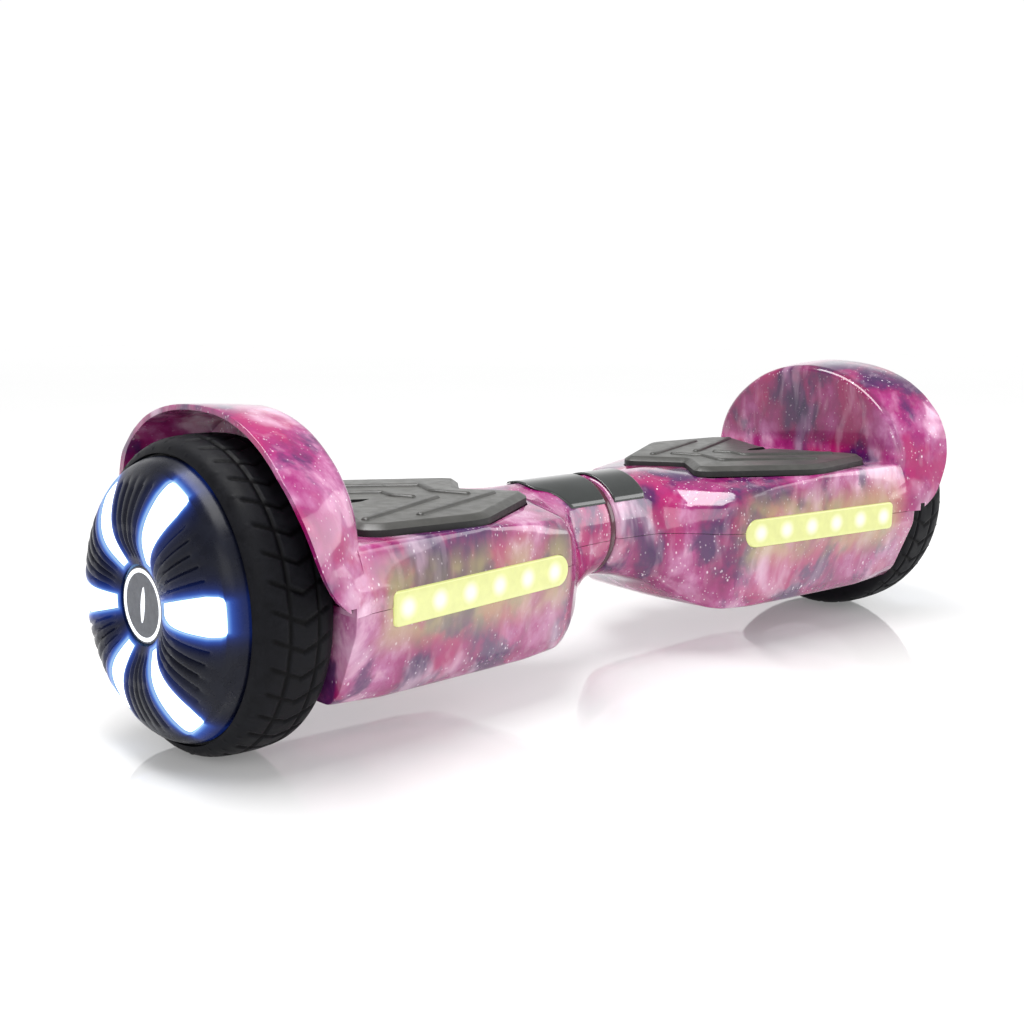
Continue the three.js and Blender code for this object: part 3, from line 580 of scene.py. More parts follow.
def build_tyre():
    # outboard seat, sidewall, shoulder, tread, inboard shoulder, back to the seat
    P = [[73.9, 285.2], [74.2, 288], [78.6, 285.6], [81.6, 279.5], [82.5, 270], [82.5, 256], [81.2, 247.5], [77, 242.6], [71.5, 241.4], [67, 244.6]]
    Q = resampled(smooth_profile(P, [0, 0.8, 3, 4, 5, 5, 4, 3, 3, 0], 6), 0.85)
    Q = np.vstack([Q, [[67, 285], [73.9, 285.2]]])
    Nn = normals_of(Q)
    if Nn[len(Q) // 2, 0] < 0:
        Nn = -Nn
    M = 540
    th = np.arange(M) * 2 * math.pi / M
    R, T = np.meshgrid(np.arange(len(Q)), th, indexing="ij")
    r, x = Q[R, 0], Q[R, 1]
    def step(v, a, b):
        t = np.clip((v - a) / (b - a), 0, 1)
        return t * t * (3 - 2 * t)
    # lugs: slanted grooves that meet in a V at the middle of the tread, and a groove along each shoulder
    tread = step(r, 80.2, 81.6)
    u = (x - 263) / 19.0
    ph = (T / (2 * math.pi) * 36 + 0.62 * np.abs(u)) % 1.0
    slant = np.minimum(ph, 1 - ph) * (2 * math.pi * 82.5 / 36)
    g = np.maximum(1 - step(slant, 0.9, 1.6), (1 - step(np.abs(np.abs(x - 263) - 8.2), 0.7, 1.3)))
    g *= tread * (1 - step(np.abs(x - 263), 17.5, 19.5))
    mid = 1 - step(np.abs(x - 263), 2.6, 3.4)
    g *= 1 - mid * 0.0
    disp = -0.9 * g
    # small raised dots on the outboard sidewall and a fine bead ring beside the cover
    for rr, count, shift in ((77.0, 30, 0.0), (79.8, 30, 0.5)):
        ang = (T / (2 * math.pi) * count + shift) % 1.0 - 0.5
        d = np.hypot(ang * 2 * math.pi * rr / count, (r - rr) * 1.25)
        disp += np.where(x > 274, 0.35 * (1 - step(d, 0.35, 0.95)), 0)
    V = []
    rr, xx = r + Nn[R, 0] * disp, x + Nn[R, 1] * disp
    V = np.stack([xx, rr * np.cos(T), AXLE_Z + rr * np.sin(T)], -1).reshape(-1, 3)
    o = new_object("tyre_skin_right", V, grid_faces(len(Q), M), angle=60)
    attribute(o, "groove", g.reshape(-1))
    return o


DOME = [[72.8, 285.7], [72.8, 288.6], [70.4, 294.6], [66, 299.4], [60, 303.2], [53, 306.8], [45, 309.4], [37, 310], [29, 308], [20.6, 304.6]]
PETAL_R = [22.6, 30, 40, 50, 60, 66, 67.6, 68.2]
PETAL_W = [3.6, 5, 6.8, 8.6, 10.2, 10, 9.1, 7.0]
PETAL_T0 = math.pi - 0.08  # angle from +Y towards +Z of the first window


def dome_rows():
    Q = smooth_profile(DOME, [0, 0.9, 2.6, 3, 3.5, 4, 4, 4.5, 4.5, 0], 6)
    Q = resampled(Q, 0.8)
    # rows at exactly the radii where a window starts and ends
    out = [Q[0]]
    for a, b in zip(Q[:-1], Q[1:]):
        for rr in (68.2, 67.6, 66, 22.6):
            if (a[0] - rr) * (b[0] - rr) < 0:
                t = (a[0] - rr) / (a[0] - b[0])
                out.append(a + (b - a) * t)
        out.append(b)
    return np.array(out)


def petal_half_angle(r):
    rr = np.clip(r, PETAL_R[0], PETAL_R[-1])
    return np.arctan(np.interp(rr, PETAL_R, PETAL_W) / rr)


def build_cover():
    Q = dome_rows()
    Nn = normals_of(Q)
    if Nn[len(Q) // 2, 1] < 0:
        Nn = -Nn
    P, RIBS, SUB = 8, 6, 7
    cols = []  # (kind, parameter)
    for k in range(P + 1):
        cols.append(("p", -1 + 2 * k / P))
    for i in range(RIBS):
        for k in range(1, SUB + 1):
            v = (i + 0.5 - 0.5 * math.cos(math.pi * k / SUB)) / RIBS
            if not (i == RIBS - 1 and k == SUB):
                cols.append(("g", v))
    C = len(cols)
    verts, glow, window = [], [], []
    for i, (r, x) in enumerate(Q):
        h = float(petal_half_angle(r))
        nr, nx = Nn[i]
        along = min(1.0, max(0.0, (r - 24) / 7)) * min(1.0, max(0.0, (65.5 - r) / 5))
        for s in range(6):
            for kind, v in cols:
                gap = math.pi / 3 - 2 * h
                if kind == "p":
                    a = h * v
                    d_edge = 0.0
                    disp = 0.0
                else:
                    a = h + gap * v
                    d_edge = min(v, 1 - v) * gap * r
                    j = v * RIBS
                    near = abs(j - round(j)) * gap / RIBS * r
                    ends = {1: 62.5, 2: 61, 3: 59, 4: 61, 5: 62.5}.get(int(round(j)), 0)
                    fade = min(1.0, max(0.0, (ends - r) / 1.6)) * min(1.0, max(0.0, (r - 24) / 5))
                    disp = -1.15 * math.exp(-((near / 0.62) ** 2)) * fade
                    frac = j - math.floor(j)
                    disp += 0.55 * math.sin(math.pi * frac) * along * min(1, near / 0.8)
                out_r = max(0.0, r - 68.2, 22.6 - r)
                d = math.hypot(d_edge, out_r) if kind == "g" else (out_r if (r > 68.2 or r < 22.6) else 0.0)
                t = PETAL_T0 + s * math.pi / 3 + a
                rr, xx = r + nr * disp, x + nx * disp
                verts.append((min(xx, COVER_X), rr * math.cos(t), AXLE_Z + rr * math.sin(t)))
                glow.append(d)
    M = 6 * C
    faces, inside = [], set()
    win_rows = [i for i, (r, x) in enumerate(Q) if 22.6 - 1e-6 <= r <= 68.2 + 1e-6 and x > 290]
    r0, r1 = win_rows[0], win_rows[-1]
    for i in range(len(Q) - 1):
        for j in range(M):
            if r0 <= i < r1 and (j % C) < P:
                continue
            a, b = i * M + j, i * M + (j + 1) % M
            faces.append((a, b, b + M, a + M))
    # inner skin, a wall's thickness under the outer one
    n0 = len(verts)
    for i in range(len(Q)):
        for j in range(M):
            x, y, z = verts[i * M + j]
            r, t = math.hypot(y, z - AXLE_Z), math.atan2(z - AXLE_Z, y)
            rr, xx = r - Nn[i][0] * 2.6, max(285.7, x - Nn[i][1] * 2.6)
            verts.append((xx, rr * math.cos(t), AXLE_Z + rr * math.sin(t)))
            glow.append(9.0)
    for i in range(len(Q) - 1):
        for j in range(M):
            if r0 <= i < r1 and (j % C) < P:
                continue
            a, b = n0 + i * M + j, n0 + i * M + (j + 1) % M
            faces.append((a, a + M, b + M, b))
    # window walls: rounded lip, then straight in to the inner skin
    for s in range(6):
        loop = [(i, s * C) for i in range(r0, r1 + 1)] + [(r1, s * C + k) for k in range(1, P + 1)] + [(i, s * C + P) for i in range(r1 - 1, r0 - 1, -1)] + [(r0, s * C + k) for k in range(P - 1, 0, -1)]
        base = len(verts)
        L = len(loop)
        for depth in (1.2,):
            for i, j in loop:
                x, y, z = verts[i * M + j]
                r, t = math.hypot(y, z - AXLE_Z), math.atan2(z - AXLE_Z, y)
                rr, xx = r - Nn[i][0] * depth, x - Nn[i][1] * depth
                verts.append((xx, rr * math.cos(t), AXLE_Z + rr * math.sin(t)))
                glow.append(0.0)
        top = [i * M + j for i, j in loop]
        low = [n0 + i * M + j for i, j in loop]
        for k in range(L):
            k2 = (k + 1) % L
            faces.append((top[k], top[k2], base + k2, base + k))
            faces.append((base + k, base + k2, low[k2], low[k]))
    # edge at the rim and the hub
    for src in (0, (len(Q) - 1) * M):
        for j in range(M):
            faces.append((src + j, src + (j + 1) % M, n0 + src + (j + 1) % M, n0 + src + j))
    o = new_object("wheel_trim_right", verts, faces, angle=48)
    # edge_mm sets the painted glow of the cover near its windows
    attribute(o, "edge_mm", glow)
    return o


def build_petals():
    """milky windows: slightly pillowed plates that fill the openings from behind"""
    Q = dome_rows()
    Nn = normals_of(Q)
    if Nn[len(Q) // 2, 1] < 0:
        Nn = -Nn
    rows = [i for i, (r, x) in enumerate(Q) if 22.6 - 1e-6 <= r <= 68.2 + 1e-6 and x > 290]
    P = 12
    verts, faces, edge = [], [], []
    for s in range(6):
        base = len(verts)
        for n, i in enumerate(rows):
            r, x = Q[i]
            rc = min(max(r, 22.9), 67.95)
            h = float(petal_half_angle(rc)) - 0.25 / rc
            for k in range(P + 1):
                v = math.sin(math.pi / 2 * (-1 + 2 * k / P))
                d = min((1 - abs(v)) * h * rc, rc - 22.8, 68.0 - rc)
                sink = 1.3 - 0.6 * (1 - math.exp(-max(0, d) / 1.6))
                a = PETAL_T0 + s * math.pi / 3 + h * v
                rr, xx = rc - Nn[i][0] * sink, x - Nn[i][1] * sink
                verts.append((xx, rr * math.cos(a), AXLE_Z + rr * math.sin(a)))
                edge.append(max(0.0, d))
        W = P + 1
        for n in range(len(rows) - 1):
            for k in range(P):
                q = base + n * W + k
                faces.append((q, q + 1, q + 1 + W, q + W))
        loop = [n * W for n in range(len(rows))] + [(len(rows) - 1) * W + k for k in range(1, W)] + [n * W + P for n in range(len(rows) - 2, -1, -1)] + [k for k in range(P - 1, 0, -1)]
        b2 = len(verts)
        for q in loop:
            x, y, z = verts[base + q]
            verts.append((x - 2.0, y, z))
            edge.append(0.0)
        L = len(loop)
        for k in range(L):
            faces.append((base + loop[k], base + loop[(k + 1) % L], b2 + (k + 1) % L, b2 + k))
        faces.append(tuple(range(b2, b2 + L)))
    o = new_object("wheel_windows_right", verts, faces, angle=50)
    attribute(o, "edge_mm", edge)
    return o


def turned_loop(name, P, M=96, angle=35, z=None):
    z = AXLE_Z if z is None else z
    th = np.arange(M) * 2 * math.pi / M
    V = [(x, r * math.cos(t), z + r * math.sin(t)) for r, x in P for t in th]
    return new_object(name, V, grid_faces(len(P), M), angle=angle)


def disc_stack(name, P, M=96, angle=35, z=None):
    """turned body whose profile starts and ends on the axis"""
    z = AXLE_Z if z is None else z
    th = np.arange(M) * 2 * math.pi / M
    V = [(x, r * math.cos(t), z + r * math.sin(t)) for r, x in P for t in th]
    f = grid_faces(len(P), M)
    f.append(tuple(range(M)))
    f.append(tuple(range(len(V) - 1, len(V) - M - 1, -1)))
    return new_object(name, V, f, angle=angle)


# ------------------------------------------------------------------ foot pads
def offset_line(P, w, ends=4):
    """closed outline of a band of half width w along a line, with rounded ends"""
    P = np.asarray(P, float)
    n = len(P)
    T = np.gradient(P, axis=0)
    T /= np.linalg.norm(T, axis=1)[:, None]
    L = []
    for i in range(n):
        nrm = np.array([-T[i][1], T[i][0]])
        if 0 < i < n - 1:
            a = (P[i] - P[i - 1]) / np.linalg.norm(P[i] - P[i - 1])
            nrm = nrm / max(0.6, abs(float(nrm @ np.array([-a[1], a[0]]))))
        L.append(nrm)
    L = np.array(L)
    left, right = P + L * w, P - L * w
    def cap(c, t, sgn):
        b = math.atan2(t[1], t[0]) + (math.pi / 2 if sgn > 0 else -math.pi / 2)
        return [[c[0] + w * math.cos(b - math.pi * k / (ends + 1)), c[1] + w * math.sin(b - math.pi * k / (ends + 1))] for k in range(1, ends + 1)]
    return np.array(list(left) + cap(P[-1], T[-1], 1) + list(right[::-1]) + cap(P[0], T[0], -1))


def build_pad(name, k):
    rings = []
    for z, t in ((PAD_Z0, 0.0), (117.7, 0.0), (118.35, 0.12), (118.8, 0.6), (120.75, 3.55), (121.08, 4.2), (PAD_FLAT, 5.1)):
        rings.append([(x, y, z) for x, y in pad_loop(-t)])
    body = capped_loft(name, rings, smooth=False, center=(150, 0))
    P = rounded_loop([[163, 0], [172, -4.2], [198, -5], [198, 5], [172, 4.2]], 1.2, 3)
    boolean(body, prism(P, 118.5, 130), "DIFFERENCE")
    body.data.materials.append(M["pad_rubber"])
    body.data.materials.append(M["pad_recess_shade"])
    body.data.materials.append(M["pad_side_shade"])
    body.data.materials.append(M["pad_shaded_rubber"])
    for p in body.data.polygons:
        c = p.center * 1000
        # painted shade: the floor and walls of the recess get a near-black copy of the rubber
        if 163 < c.x < 199 and abs(c.y) < 5.2 and (c.z < 118.9 or abs(p.normal.z) < 0.2) and c.z < 121.0:
            if not (abs(p.normal.z) < 0.2 and abs(p.normal.x) > 0.9 and c.z < 118.45):
                p.material_index = 1
        # painted shade: the upright side gets a near-black copy of the rubber, the chamfer above it a darker copy
        if p.material_index == 0 and c.z < 121.15:  # upright side, then the chamfer above it
            p.material_index = 2 if abs(p.normal.z) < 0.5 else 3
    smooth_by(body, 30)
    parts = [body]
    ribs = [
        [[97, -27], [172, -56]],
        [[132, -19], [203, -50]],
        [[110, -20], [119, -1], [111, 20], [166, 55]],
        [[141, -9], [147, 1], [143, 13], [196, 46]],
    ]
    for i, line in enumerate(ribs):
        c = soften([[x, k * y, 0] for x, y in line], [3.5] * len(line), 4)[:, :2]
        if len(line) == 2:
            c = np.array([c[0] + (c[-1] - c[0]) * t for t in np.linspace(0, 1, 6)])
        rr = []
        for z, w in ((PAD_FLAT - 0.4, 2.75), (PAD_FLAT + 0.1, 2.7), (PAD_FLAT + 0.55, 2.35), (PAD_FLAT + 1.0, 1.95), (PAD_FLAT + 1.22, 1.6), (PAD_FLAT + 1.3, 1.1)):
            rr.append([(x, y, z) for x, y in offset_line(c, w)])
        rib = capped_loft("rib", rr, angle=40)
        # painted shade: the ribs get the darker copy of the pad rubber
        rib.data.materials.append(M["pad_shaded_rubber"])
        parts.append(rib)
    return joined(name, parts)


# ------------------------------------------------------------------ pivot trim
def build_cap(name, x1, width):
    R, r_out, r_in, ymax = 0.8, NECK_R + 1.3, NECK_R + 0.35, 26.9
    def spread(a, b, step):
        e = [0, 0.06, 0.2, 0.42, 0.8, 1.4]
        n = max(2, int((b - a - 2.8) / step))
        return [a + v for v in e] + list(np.linspace(a + 1.4, b - 1.4, n + 1)[1:-1]) + [b - v for v in e[::-1]]
    xs = spread(4.0, x1, 1.6)
    us = spread(-1.0, 1.0, 9)  # placeholder spacing, rescaled below
    ncol = 44
    V, F = [], []
    def row(x, r, flat):
        w = min(ymax, float(np.interp(x, [p[0] for p in width], [p[1] for p in width])))
        out = []
        e = [0, 0.06, 0.2, 0.42, 0.8, 1.4]
        ys = [-w + v for v in e] + list(np.linspace(-w + 1.4, w - 1.4, ncol)[1:-1]) + [w - v for v in e[::-1]]
        for y in ys:
            d = min(x - 4.0, x1 - x, w - abs(y))
            drop = 0.0 if flat or d >= R else R - math.sqrt(max(0.0, R * R - (R - d) ** 2))
            rr = r - drop
            out.append((x, y, PIVOT_Z + math.sqrt(rr * rr - y * y)))
        return out
    top = [row(x, r_out, False) for x in xs]
    bot = [row(x, r_in, True) for x in xs]
    nr, nc = len(xs), len(top[0])
    V = [p for r in top for p in r] + [p for r in bot for p in r]
    for i in range(nr - 1):
        for j in range(nc - 1):
            a = i * nc + j
            F.append((a, a + 1, a + 1 + nc, a + nc))
            b = nr * nc + a
            F.append((b, b + nc, b + nc + 1, b + 1))
    rim = [j for j in range(nc)] + [i * nc + nc - 1 for i in range(1, nr)] + [(nr - 1) * nc + j for j in range(nc - 2, -1, -1)] + [i * nc for i in range(nr - 2, 0, -1)]
    for k in range(len(rim)):
        a, b = rim[k], rim[(k + 1) % len(rim)]
        F.append((a, b, nr * nc + b, nr * nc + a))
    return new_object(name, V, F, angle=50)


def build_collar():
    P = [(20.3, -2.2), (29.4, -2.2), (30.2, -2.05), (30.55, -1.6), (30.6, -1.1), (30.6, 1.1), (30.55, 1.6), (30.2, 2.05), (29.4, 2.2), (20.3, 2.2), (20.3, -2.2)]
    return turned_loop("collar", P, 128, 40, PIVOT_Z)


# ------------------------------------------------------------------ hub badge: dark disc, lit ring, plain slim mark
def build_badge():
    P = [(0.4, 299.0), (19.8, 299.0), (19.8, 302.7), (19.6, 303.4), (19.1, 303.85), (18.75, 303.95), (18.55, 303.7), (18.5, 303.5),
         (18.45, 303.75), (18.2, 303.95), (16.7, 303.95), (16.45, 303.75), (16.4, 303.45), (16.2, 303.3), (12, 303.3), (6, 303.3), (0.4, 303.3)]
    o = disc_stack("hub_badge_face", P, 128, 30)
    o.data.materials.append(M["badge_grey"])
    o.data.materials.append(M["ring_light"])
    for p in o.data.polygons:
        c = p.center * 1000
        r = math.hypot(c.y, c.z - AXLE_Z)
        if 16.35 < r < 18.47 and c.x > 303.4:
            p.material_index = 1
    # slim lens-shaped mark, upright with a slight lean
    n = 28
    pts = []
    for k in range(n):
        t = 2 * math.pi * k / n
        a, b = 9.4 * math.sin(t), 1.75 * math.cos(t) * (1 - 0.35 * math.sin(t) ** 2)
        lean = math.radians(7)
        pts.append((b * math.cos(lean) - a * math.sin(lean), b * math.sin(lean) + a * math.cos(lean)))
    rings = []
    for x, s in ((303.1, 1.0), (303.6, 1.0), (303.78, 0.93), (303.82, 0.8)):
        rings.append([(x, p * s, AXLE_Z + q * s) for p, q in pts])
    m = capped_loft("mark", rings, angle=40)
    m.data.materials.append(M["ring_light"])
    return joined("hub_badge_face_right", [o, m])


# ------------------------------------------------------------------ rear services of the right half
PORT_X, PORT_Z, PORT_Y = 118.0, 57.0, 75.4
BTN_X, BTN_Z, BTN_Y = 156.0, 57.0, 77.6


def round_y(name, P, x, z, seg=64, angle=35):
    """turned about a line along Y: profile of (radius, y)"""
    rings = [[(x + r * math.sin(2 * math.pi * k / seg), y, z + r * math.cos(2 * math.pi * k / seg)) for k in range(seg)] for r, y in P]
    return capped_loft(name, rings, angle=angle)


def add_services(o):
    boolean(o, round_y("boss", [(15, 67), (15, PORT_Y - 0.7), (14.8, PORT_Y - 0.25), (14.3, PORT_Y)], PORT_X, PORT_Z), "UNION")
    boolean(o, round_y("boss", [(10.6, 69.5), (10.6, BTN_Y - 0.7), (10.4, BTN_Y - 0.25), (9.9, BTN_Y)], BTN_X, BTN_Z), "UNION")
    for k in (-1, 1):
        c = PORT_X + k * 5.6
        P = rounded_loop([[PORT_Y - 6, PORT_Z + 11.6], [PORT_Y + 3.2, PORT_Z + 11.6], [PORT_Y + 3.2, PORT_Z + 15.4], [PORT_Y - 6, PORT_Z + 15.4]], 1.0, 3)
        boolean(o, prism(P, c - 1.4, c + 1.4, "x"), "UNION")
    boolean(o, cyl("y", 11.4, 50, 90, PORT_X, PORT_Z, 64), "DIFFERENCE")
    boolean(o, cyl("y", 7.5, 50, 90, BTN_X, BTN_Z, 48), "DIFFERENCE")
    cleaned(o, 0.01)
    smooth_by(o, UPPER_ANGLE)
    return o


def build_flap():
    y0 = PORT_Y + GAP
    disc = round_y("flap", [(11.4, y0), (12, y0 + 0.4), (12, y0 + 1.5), (11.7, y0 + 2.0), (11.0, y0 + 2.2), (9.4, y0 + 2.2), (9.1, y0 + 1.9), (8.3, y0 + 1.9), (8.0, y0 + 2.2), (2, y0 + 2.2)], PORT_X, PORT_Z)
    def brick(x0, x1, ya, yb, z0, z1, r):
        P = rounded_loop([[x0, z0], [x1, z0], [x1, z1], [x0, z1]], r, 3)
        rings = [[(x, y, z) for x, z in (inset_loop(ccw(P), t))] for y, t in ((ya, 0.3), (ya + 0.3, 0), (yb - 0.3, 0), (yb, 0.3))]
        return capped_loft("brick", rings, angle=40)
    strap = brick(PORT_X - 3.4, PORT_X + 3.4, y0, y0 + 2.0, PORT_Z + 8, PORT_Z + 13.2, 0.8)
    tab = brick(PORT_X - 3, PORT_X + 3, y0, y0 + 3.3, PORT_Z - 14, PORT_Z - 10, 1.2)
    th = [2 * math.pi * k / 24 for k in range(24)]
    pin = capped_loft("pin", [[(x, PORT_Y + 1.6 + r * math.cos(t), PORT_Z + 13.5 + r * math.sin(t)) for t in th] for x, r in ((PORT_X - 3.8, 0.9), (PORT_X - 3.5, 1.2), (PORT_X + 3.5, 1.2), (PORT_X + 3.8, 0.9))], angle=40)
    o = joined("socket_flap", [disc, strap, tab, pin])
    o.data.materials.append(M["flap_rubber"])
    return o


def build_button():
    y1 = BTN_Y + 1.4
    o = round_y("power_button_cap", [(8.6, 63.4), (8.6, 66), (7, 66), (7, y1 - 0.7), (6.8, y1 - 0.25), (6.3, y1), (4.4, y1), (3.9, y1 - 0.25), (2.2, y1 - 0.45), (0.5, y1 - 0.5)], BTN_X, BTN_Z)
    o.data.materials.append(M["gloss_black"])
    return o


# ------------------------------------------------------------------ materials
class Mat:
    def __init__(self, name):
        self.m = bpy.data.materials.new(name)
        self.m.use_nodes = True
        self.nt = self.m.node_tree
        self.nt.nodes.clear()
        self.out = self.n("ShaderNodeOutputMaterial")
        self.b = self.n("ShaderNodeBsdfPrincipled")
        self.nt.links.new(self.b.outputs[0], self.out.inputs[0])
        self.co = self.n("ShaderNodeTexCoord").outputs["Object"]

    def n(self, kind, **props):
        x = self.nt.nodes.new(kind)
        for k, v in props.items():
            setattr(x, k, v)
        return x

    def put(self, socket, value):
        if isinstance(value, bpy.types.NodeSocket):
            self.nt.links.new(value, socket)
        elif isinstance(value, (tuple, list)) and len(value) == 3 and socket.type == "RGBA":
            socket.default_value = (*value, 1)
        else:
            socket.default_value = value

    def set(self, **kw):
        for k, v in kw.items():
            self.put(self.b.inputs[k.replace("_", " ")], v)
        return self

    def map(self, scale=(1, 1, 1), rot=(0, 0, 0), loc=(0, 0, 0), v=None):
        x = self.n("ShaderNodeMapping")
        self.put(x.inputs["Vector"], v or self.co)
        x.inputs["Scale"].default_value = scale
        x.inputs["Rotation"].default_value = [math.radians(a) for a in rot]
        x.inputs["Location"].default_value = loc
        return x.outputs[0]

    def noise(self, v, scale=1.0, detail=4.0, rough=0.55, dist=0.0, color=False):
        x = self.n("ShaderNodeTexNoise")
        self.put(x.inputs["Vector"], v)
        for k, val in (("Scale", scale), ("Detail", detail), ("Roughness", rough), ("Distortion", dist)):
            x.inputs[k].default_value = val
        return x.outputs["Color" if color else "Fac"]

    def voronoi(self, v, scale):
        x = self.n("ShaderNodeTexVoronoi")
        self.put(x.inputs["Vector"], v)
        x.inputs["Scale"].default_value = scale
        return x.outputs["Distance"], x.outputs["Color"]

    def ramp(self, fac, stops, mode="LINEAR"):
        x = self.n("ShaderNodeValToRGB")
        x.color_ramp.interpolation = mode
        e = x.color_ramp.elements
        e[0].position, e[0].color = stops[0][0], (*stops[0][1], 1)
        e[1].position, e[1].color = stops[-1][0], (*stops[-1][1], 1)
        for p, c in stops[1:-1]:
            q = e.new(p)
            q.color = (*c, 1)
        self.put(x.inputs[0], fac)
        return x.outputs[0]

    def range(self, v, a, b, c=0.0, d=1.0, smooth=True):
        x = self.n("ShaderNodeMapRange")
        x.interpolation_type = "SMOOTHSTEP" if smooth else "LINEAR"
        self.put(x.inputs[0], v)
        for i, val in enumerate((a, b, c, d)):
            x.inputs[i + 1].default_value = val
        return x.outputs[0]

    def math(self, op, a, b=None, c=None):
        x = self.n("ShaderNodeMath", operation=op)
        self.put(x.inputs[0], a)
        if b is not None:
            self.put(x.inputs[1], b)
        if c is not None:
            self.put(x.inputs[2], c)
        return x.outputs[0]

    def mix(self, fac, a, b, blend="MIX"):
        x = self.n("ShaderNodeMix", data_type="RGBA", blend_type=blend)
        x.clamp_factor = True
        self.put(x.inputs[0], fac)
        self.put(x.inputs[6], a)
        self.put(x.inputs[7], b)
        return x.outputs[2]

    def xyz(self, v=None):
        x = self.n("ShaderNodeSeparateXYZ")
        self.put(x.inputs[0], v or self.co)
        return x.outputs

    def attr(self, name):
        return self.n("ShaderNodeAttribute", attribute_name=name).outputs["Fac"]

    def bump(self, height, strength, distance):
        x = self.n("ShaderNodeBump")
        x.inputs["Strength"].default_value = strength
        x.inputs["Distance"].default_value = distance
        self.put(x.inputs["Height"], height)
        self.put(self.b.inputs["Normal"], x.outputs[0])
        return self


M = {}


def film():
    t = Mat("shell_film")
    warp = t.noise(t.map((15, 15, 11)), 1.0, 3, 0.5, 0.0, color=True)
    add = t.n("ShaderNodeVectorMath", operation="MULTIPLY_ADD")
    t.put(add.inputs[0], warp)
    add.inputs[1].default_value = (0.03, 0.03, 0.04)
    t.put(add.inputs[2], t.co)
    w = add.outputs[0]
    # soft clouds from indigo through magenta to pale pink
    cloud = t.noise(t.map((23, 23, 16), (0, 14, 0), v=w), 1.0, 6, 0.56, 0.15)
    col = t.ramp(cloud, [(0.33, (0.022, 0.005, 0.060)), (0.415, (0.080, 0.006, 0.085)), (0.48, (0.23, 0.007, 0.105)), (0.54, (0.31, 0.022, 0.155)), (0.605, (0.42, 0.120, 0.28)), (0.70, (0.70, 0.42, 0.57))])
    hot = t.noise(t.map((21, 21, 17), v=w, loc=(3, 1, 7)), 1.0, 4, 0.55, 0.15)
    col = t.mix(t.range(hot, 0.52, 0.62, 0, 0.8), col, (0.36, 0.006, 0.11))
    # painted shade: mask of the fender's inboard wall above the deck
    upper = t.range(t.xyz()[2], 0.118, 0.128, 0, 1)
    wall = t.math("MULTIPLY", upper, t.range(t.math("ABSOLUTE", t.xyz()[0]), 0.236, 0.230, 0, 1))
    dark = t.noise(t.map((32, 32, 23), v=w, loc=(9, 4, 2)), 1.0, 5, 0.58, 0.2)
    col = t.mix(t.range(dark, 0.54, 0.66, 0, 0.85), col, (0.042, 0.012, 0.085))
    # pale bands that run down the faces: partly the print's pale patches, partly a painted milky sheen (painted
    # reflection), weaker on the fender's inboard wall
    pale = t.noise(t.map((25, 25, 10), (0, -10, 0), v=w, loc=(1, 8, 5)), 1.0, 4, 0.5, 0.2)
    col = t.mix(t.math("MULTIPLY", t.range(pale, 0.55, 0.70, 0, 0.70), t.range(wall, 0, 1, 1, 0.7)), col, (0.70, 0.48, 0.62))
    # painted shade: the fender's inboard wall is made darker and purpler
    col = t.mix(t.range(wall, 0, 1, 0, 0.75), col, (0.50, 0.20, 0.46), "MULTIPLY")
    streak = t.noise(t.map((130, 130, 26), (0, 6, 0), v=w), 1.0, 3, 0.5)
    col = t.mix(t.range(streak, 0.52, 0.72, 0, 0.12), col, (0.85, 0.62, 0.75))
    col = t.mix(t.range(streak, 0.46, 0.30, 0, 0.12), col, (0.10, 0.012, 0.09))
    # white star specks in three sizes, thicker in some places than others
    crowd = t.range(t.noise(t.map((26, 26, 26), loc=(5, 5, 1)), 1.0, 3), 0.36, 0.60, 0.15, 1.0)
    for scale, size, keep, k in ((520, 0.30, 0.62, 0.55), (270, 0.22, 0.66, 0.75), (120, 0.13, 0.72, 0.9)):
        d, c = t.voronoi(t.map((1, 1, 0.66)), scale)
        pick = t.range(t.xyz(c)[0], keep, keep + 0.12, 0, 1)
        spot = t.range(d, size, size * 0.3, 0, k)
        col = t.mix(t.math("MULTIPLY", t.math("MULTIPLY", pick, spot), crowd), col, (0.93, 0.80, 0.90))
    # light spilt by the lamps on the print round them
    X, Y, Z = t.xyz()[0:3]
    ax = t.math("ABSOLUTE", X)
    ddx = t.math("MAXIMUM", t.math("MAXIMUM", t.math("SUBTRACT", ax, 0.211), t.math("SUBTRACT", 0.088, ax)), 0.0)
    ddz = t.math("MAXIMUM", t.math("SUBTRACT", t.math("ABSOLUTE", t.math("SUBTRACT", Z, LAMP_Z * S)), LAMP_H / 2 * S), 0.0)
    dist = t.math("SQRT", t.math("ADD", t.math("MULTIPLY", ddx, ddx), t.math("MULTIPLY", ddz, ddz)))
    near = t.range(dist, 0.0, 0.022, 1, 0)
    blotch = t.noise(t.map((55, 55, 40)), 1.0, 2)
    near = t.math("MULTIPLY", near, t.range(blotch, 0.36, 0.60, 0.35, 1.0))
    front = t.math("MULTIPLY", near, t.range(Y, -0.052, -0.06, 0, 0.6))
    rear = t.math("MULTIPLY", near, t.range(Y, 0.052, 0.06, 0, 0.8))
    col = t.mix(front, col, (0.43, 0.37, 0.13))
    col = t.mix(rear, col, (0.70, 0.03, 0.025))
    t.set(Base_Color=col, Roughness=0.18, Coat_Weight=0.6, Coat_Roughness=0.04)
    t.bump(t.noise(t.co, 700, 2, 0.5), 0.03, 0.0002)
    M["shell"] = t.m


